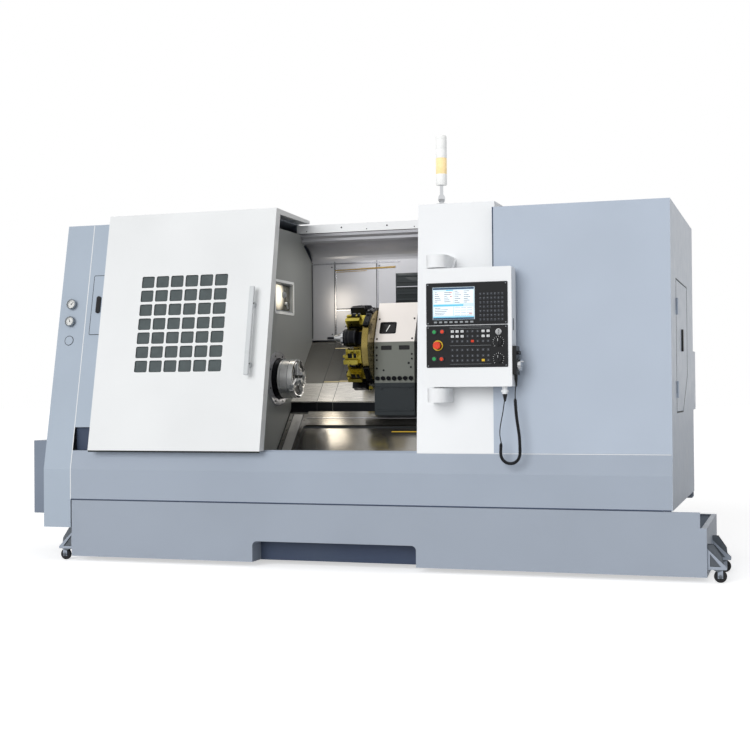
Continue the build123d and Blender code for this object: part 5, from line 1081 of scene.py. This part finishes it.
        collar = [(20, 0), (20, 2.4), (24.5, 2.4), (25.5, 1.6), (25.5, 0)]
        ring = turned(collar, (2111, face, 1128), FRONT, 48, ring=True)
        piece("estop_ring", [ring], "yellow plastic", "pendant")
        collar = [(9.4, 0), (9.4, 5.6), (12.4, 5.6), (13.4, 4.6), (13.4, 0)]
        rings = [turned(collar, (x, face, z), FRONT, 32, ring=True)
                 for x, z in ((2094, 1194), (2134, 1195), (2093, 1063), (2130, 1062))]
        piece("button_collars", rings, "dark key plastic", "pendant")
        # Thirteen marks over three quarters of a turn, every third one longer
        scale = [spoke(np.array([knob_x, face, z]), FRONT, 225 - 22.5 * k, 24, 27.5 if k % 3 else 30,
                       1.5, 0.5) for z in knobs.values() for k in range(13)]
        piece("knob_scales", scale, "white key plastic", "pendant")
        for name, z in knobs.items():
            grips = []
            for a in np.radians(np.arange(0, 360, 20)):
                x, high = knob_x + 20.2 * math.cos(a), z + 20.2 * math.sin(a)
                grips.append(strip((x, face - 0.6, high), (x, face - 6.0, high), 3.0, 1.6,
                                   (math.cos(a), 0, math.sin(a))))
            piece(f"{name}_grips", grips, "black plastic", name)
            line = strip((knob_x, face - 18.0, z + 4), (knob_x, face - 18.0, z + 16), 2.0, 0.5, FRONT)
            piece(f"{name}_pointer", [line], "white key plastic", name)
        collar = [(12.4, 0), (12.4, 3), (15, 2.4), (16, 0.6), (16, 0)]
        ring = turned(collar, (2413, face, 1190), FRONT, 32, ring=True)
        piece("key_rosette", [ring], "chromed steel", "pendant")
        edge = face + 0.2
        section = [(0, 0), (0, 2.2), (3.4, 2.2), (3.4, 0)]
        bezel = [slab(oblong(406, h + 6, 6), section, (2255.6, -114 - 0.2, z), FRONT, ring=True)
                 for h, z in ((200, 1330), (198, 1122))]
        piece("pendant_bezels", bezel, "dark key plastic", "pendant")
        heads = [screw((x, edge, z), FRONT, 3.0, 1.2, 12) for x in (2062, 2449)
                 for z in (1236, 1424, 1029, 1215)]
        piece("pendant_screws", heads, "zinc plate", "pendant")
        gland = turned([(10.5, 0), (10.5, 22), (12.5, 24), (12.5, 34.5)], (2429, CORD_Y, 891), UP, 32)
        piece("gland", [gland], "grey plastic", "pendant")
        card = [strip((2477.2, -77, 1198), (2477.2, -77, 1254), 12, 0.8, RIGHT)]
        piece("card_flap", card, "black seal", "pendant")
        marks = [spoke(np.array([2498.6, -70, 1028]), RIGHT, k * 360 / 25, 29, 31.6, 0.9, 0.4)
                 for k in range(25)]
        piece("handwheel_scale", marks, "white key plastic", "pendant")
        return {"FINISHED"}


# The cord's route: X and Z of its control points, all in one plane
CORD_Y = -60.0
COIL = [(2479, 870), (2482, 800), (2490, 742), (2498, 690), (2500.5, 636), (2500, 580.5), (2472.5, 553),
        (2433.5, 553), (2406, 580.5), (2405.5, 620), (2408, 655)]
LEAD_HIGH = [(2485, 970.5), (2485, 940), (2479.5, 905)]
LEAD_LOW = [(2401, 690), (2403, 728), (2414, 780), (2424, 832), (2429, 889.5)]


def spline(name, route, radius):
    """A curve through the control points as one NURBS spline of order 3, from end to end."""
    curve = bpy.data.curves.new(name, "CURVE")
    curve.dimensions = "3D"
    line = curve.splines.new("NURBS")
    line.points.add(len(route) - 1)
    line.points.foreach_set("co", np.column_stack([route, np.ones(len(route))]).ravel())
    line.order_u = 3
    line.use_endpoint_u = True
    line.resolution_u = 6
    curve.bevel_depth = radius
    curve.bevel_resolution = 3
    curve.use_fill_caps = True
    return curve


class LATHE_OT_cord(bpy.types.Operator):
    """Curly cord between the handwheel unit and the pendant's gland, with its boots"""
    bl_idname = "lathe.cord"
    bl_label = "Cord"

    def execute(self, context):
        wire = 0.0026  # radius in metres, like the measures below
        # The coil's middle line, as points of a smooth curve through its route
        high, route, low = (metres([(x, CORD_Y, z) for x, z in spots])
                            for spots in (LEAD_HIGH, COIL, LEAD_LOW))
        middle_line = spline("cord_route", route, 0.0)
        middle_line.resolution_u = 24
        holder = bpy.data.objects.new("cord_route", middle_line)
        context.scene.collection.objects.link(holder)
        context.view_layer.update()
        mesh = bpy.data.meshes.new_from_object(holder.evaluated_get(context.evaluated_depsgraph_get()))
        path = np.array([v.co for v in mesh.vertices])
        bpy.data.objects.remove(holder)
        bpy.data.meshes.remove(mesh)
        step = np.r_[0, np.cumsum(np.linalg.norm(np.diff(path, axis=0), axis=1))]
        # The helix round it, whose radius grows from nothing over the first two turns and back at the end
        pitch, mean_radius, per_turn = 0.0056, 0.0059, 12
        turns = int(step[-1] / pitch)
        s = np.linspace(0, step[-1], turns * per_turn + 1)
        centre = np.stack([np.interp(s, step, path[:, k]) for k in range(3)], 1)
        ahead = np.gradient(centre, axis=0)
        ahead /= np.linalg.norm(ahead, axis=1, keepdims=True)
        side = np.tile([0.0, 1.0, 0.0], (len(s), 1))
        over = np.cross(ahead, side)
        a = 2 * np.pi * np.arange(len(s)) / per_turn
        reach = mean_radius * np.clip(np.minimum(s, s[-1] - s) / (2 * pitch), 0.0, 1.0)[:, None]
        helix = centre + reach * (np.cos(a)[:, None] * side + np.sin(a)[:, None] * over)
        whole = np.concatenate([high, helix, low])
        curve = spline("curly_cord", whole, wire)
        curve.splines[0].resolution_u = 2
        made = bpy.data.objects.new("curly_cord", curve)
        context.scene.collection.objects.link(made)
        curve.materials.append(COAT["cord jacket"])
        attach(made, "pendant")
        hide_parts("cord_coil", "cord_leads")
        boots = [turned(profile, (x, CORD_Y, z), UP, 28) for profile, x, z in (
            ([(7.4, 0), (7.4, -10), (5.6, -22), (4.2, -44), (3.2, -46)], 2485, 971),
            ([(11, 0), (12, -4), (9.5, -14), (5.2, -34), (3.2, -38)], 2429, 891))]
        boot = piece("cord_boots", boots, "black plastic", "pendant")
        return {"FINISHED"}


class LATHE_OT_casters(bpy.types.Operator):
    """Tyres, hubs and plates of the tank's casters"""
    bl_idname = "lathe.casters"
    bl_label = "Casters"

    def execute(self, context):
        tyre = [(14, -8.8), (28, -8.8), (29.9, -5.5), (29.9, 5.5), (28, 8.8), (14, 8.8)]
        hub = [(5.5, -9.6), (8, -9.6), (9, -8), (13.6, -8), (13.6, 8), (9, 8), (8, 9.6), (5.5, 9.6)]
        side_plate = [(68, 178), (30, 178), (-8, 122), (-16, 62), (10, 50), (34, 62), (68, 112)]
        axle = 30  # height of the wheels' middle
        places = {1: (-52, 40), 2: (-52, 417), 3: (3426, 40), 4: (3426, 417)}
        for number, (x, y) in places.items():
            body = f"wheel_{number}"
            shown = piece(f"tyre_{number}", [turned(tyre, (x, y, axle), FRONT, 48, ring=True)], "rubber",
                          body)
            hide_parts(f"caster_wheel_{number}")
            # The plates reach inwards, under the tank: mirrored at the right end
            way = 1 if x < 0 else -1
            outline = (np.array(side_plate, float) * [way, 1])[::-way] + [x, 0]
            plates = [slab(outline, [(0, 0), (0, 2.2), (0.6, 2.8)], (0, y + side, 0), FRONT)
                      for side in (-14.5, 17.3)]
            ends = sorted((x - 14 * way, x + 50 * way))
            plates += [bar((ends[0], y - 17, 62), (ends[1], y + 17, 67)),
                       turned([(5, 0), (5, 38), (9, 38), (9, 41), (5, 42)], (x, y + 20, axle), FRONT, 20)]
            piece(f"caster_plate_{number}", plates, "caster plate", "tank")
            piece(f"hub_{number}", [turned(hub, (x, y, axle), FRONT, 40, ring=True)], "black plastic", body)
        return {"FINISHED"}


class LATHE_OT_side(bpy.types.Operator):
    """Seal and grip of the side door, and a strip of painted shadow beside the column"""
    bl_idname = "lathe.side"
    bl_label = "Right side"

    def execute(self, context):
        outline = np.array([(290, 796), (640, 796), (915, 985), (915, 1445), (290, 1445)], float)
        section = [(-7.5, 0), (-7.5, 0.9), (-3.2, 0.9), (-3.2, 0)]
        seal = slab(outline, section, (3214.0, 0, 0), RIGHT, ring=True)
        piece("side_door_seal", [seal], "black seal", "machine")
        grip = [slab(oblong(37, 113, 8, 6), [(0, 0), (0, 7.6), (2, 9)], (3214.2, 590, 1156), RIGHT)]
        piece("side_door_grip", grip, "black plastic", "side_door")
        # A navy strip on the housing beside the column: painted shadow of the column's side
        gap = [strip((2357, 20.4, 1500), (2357, 20.4, 1811), 6, 0.5, FRONT)]
        piece("column_gap", gap, "navy gap paint", "machine")
        return {"FINISHED"}


class LATHE_PT_sidebar(bpy.types.Panel):
    """Lists the steps and their settings"""
    bl_label = "Lathe"
    bl_idname = "LATHE_PT_sidebar"
    bl_space_type = "VIEW_3D"
    bl_region_type = "UI"
    bl_category = "Lathe"

    def draw(self, context):
        column = self.layout.column()
        for group in (context.scene.lathe_colours, context.scene.lathe_studio):
            for key in group.__annotations__:
                column.prop(group, key)
        for step in STEPS:
            column.operator(step.bl_idname)


STEPS = (LATHE_OT_coats, LATHE_OT_stage, LATHE_OT_cord, LATHE_OT_door, LATHE_OT_guards, LATHE_OT_workspace,
         LATHE_OT_turret, LATHE_OT_tools, LATHE_OT_tower, LATHE_OT_pendant, LATHE_OT_casters, LATHE_OT_side)
CLASSES = (LatheColours, StudioSettings, *STEPS, LATHE_PT_sidebar)


def register():
    for made in CLASSES:
        bpy.utils.register_class(made)
    bpy.types.Scene.lathe_colours = PointerProperty(type=LatheColours)
    bpy.types.Scene.lathe_studio = PointerProperty(type=StudioSettings)


def unregister():
    del bpy.types.Scene.lathe_colours
    del bpy.types.Scene.lathe_studio
    for made in reversed(CLASSES):
        bpy.utils.unregister_class(made)


def main():
    register()
    for step in STEPS:
        group, name = step.bl_idname.split(".")
        getattr(getattr(bpy.ops, group), name)()


if __name__ == "__main__":
    main()
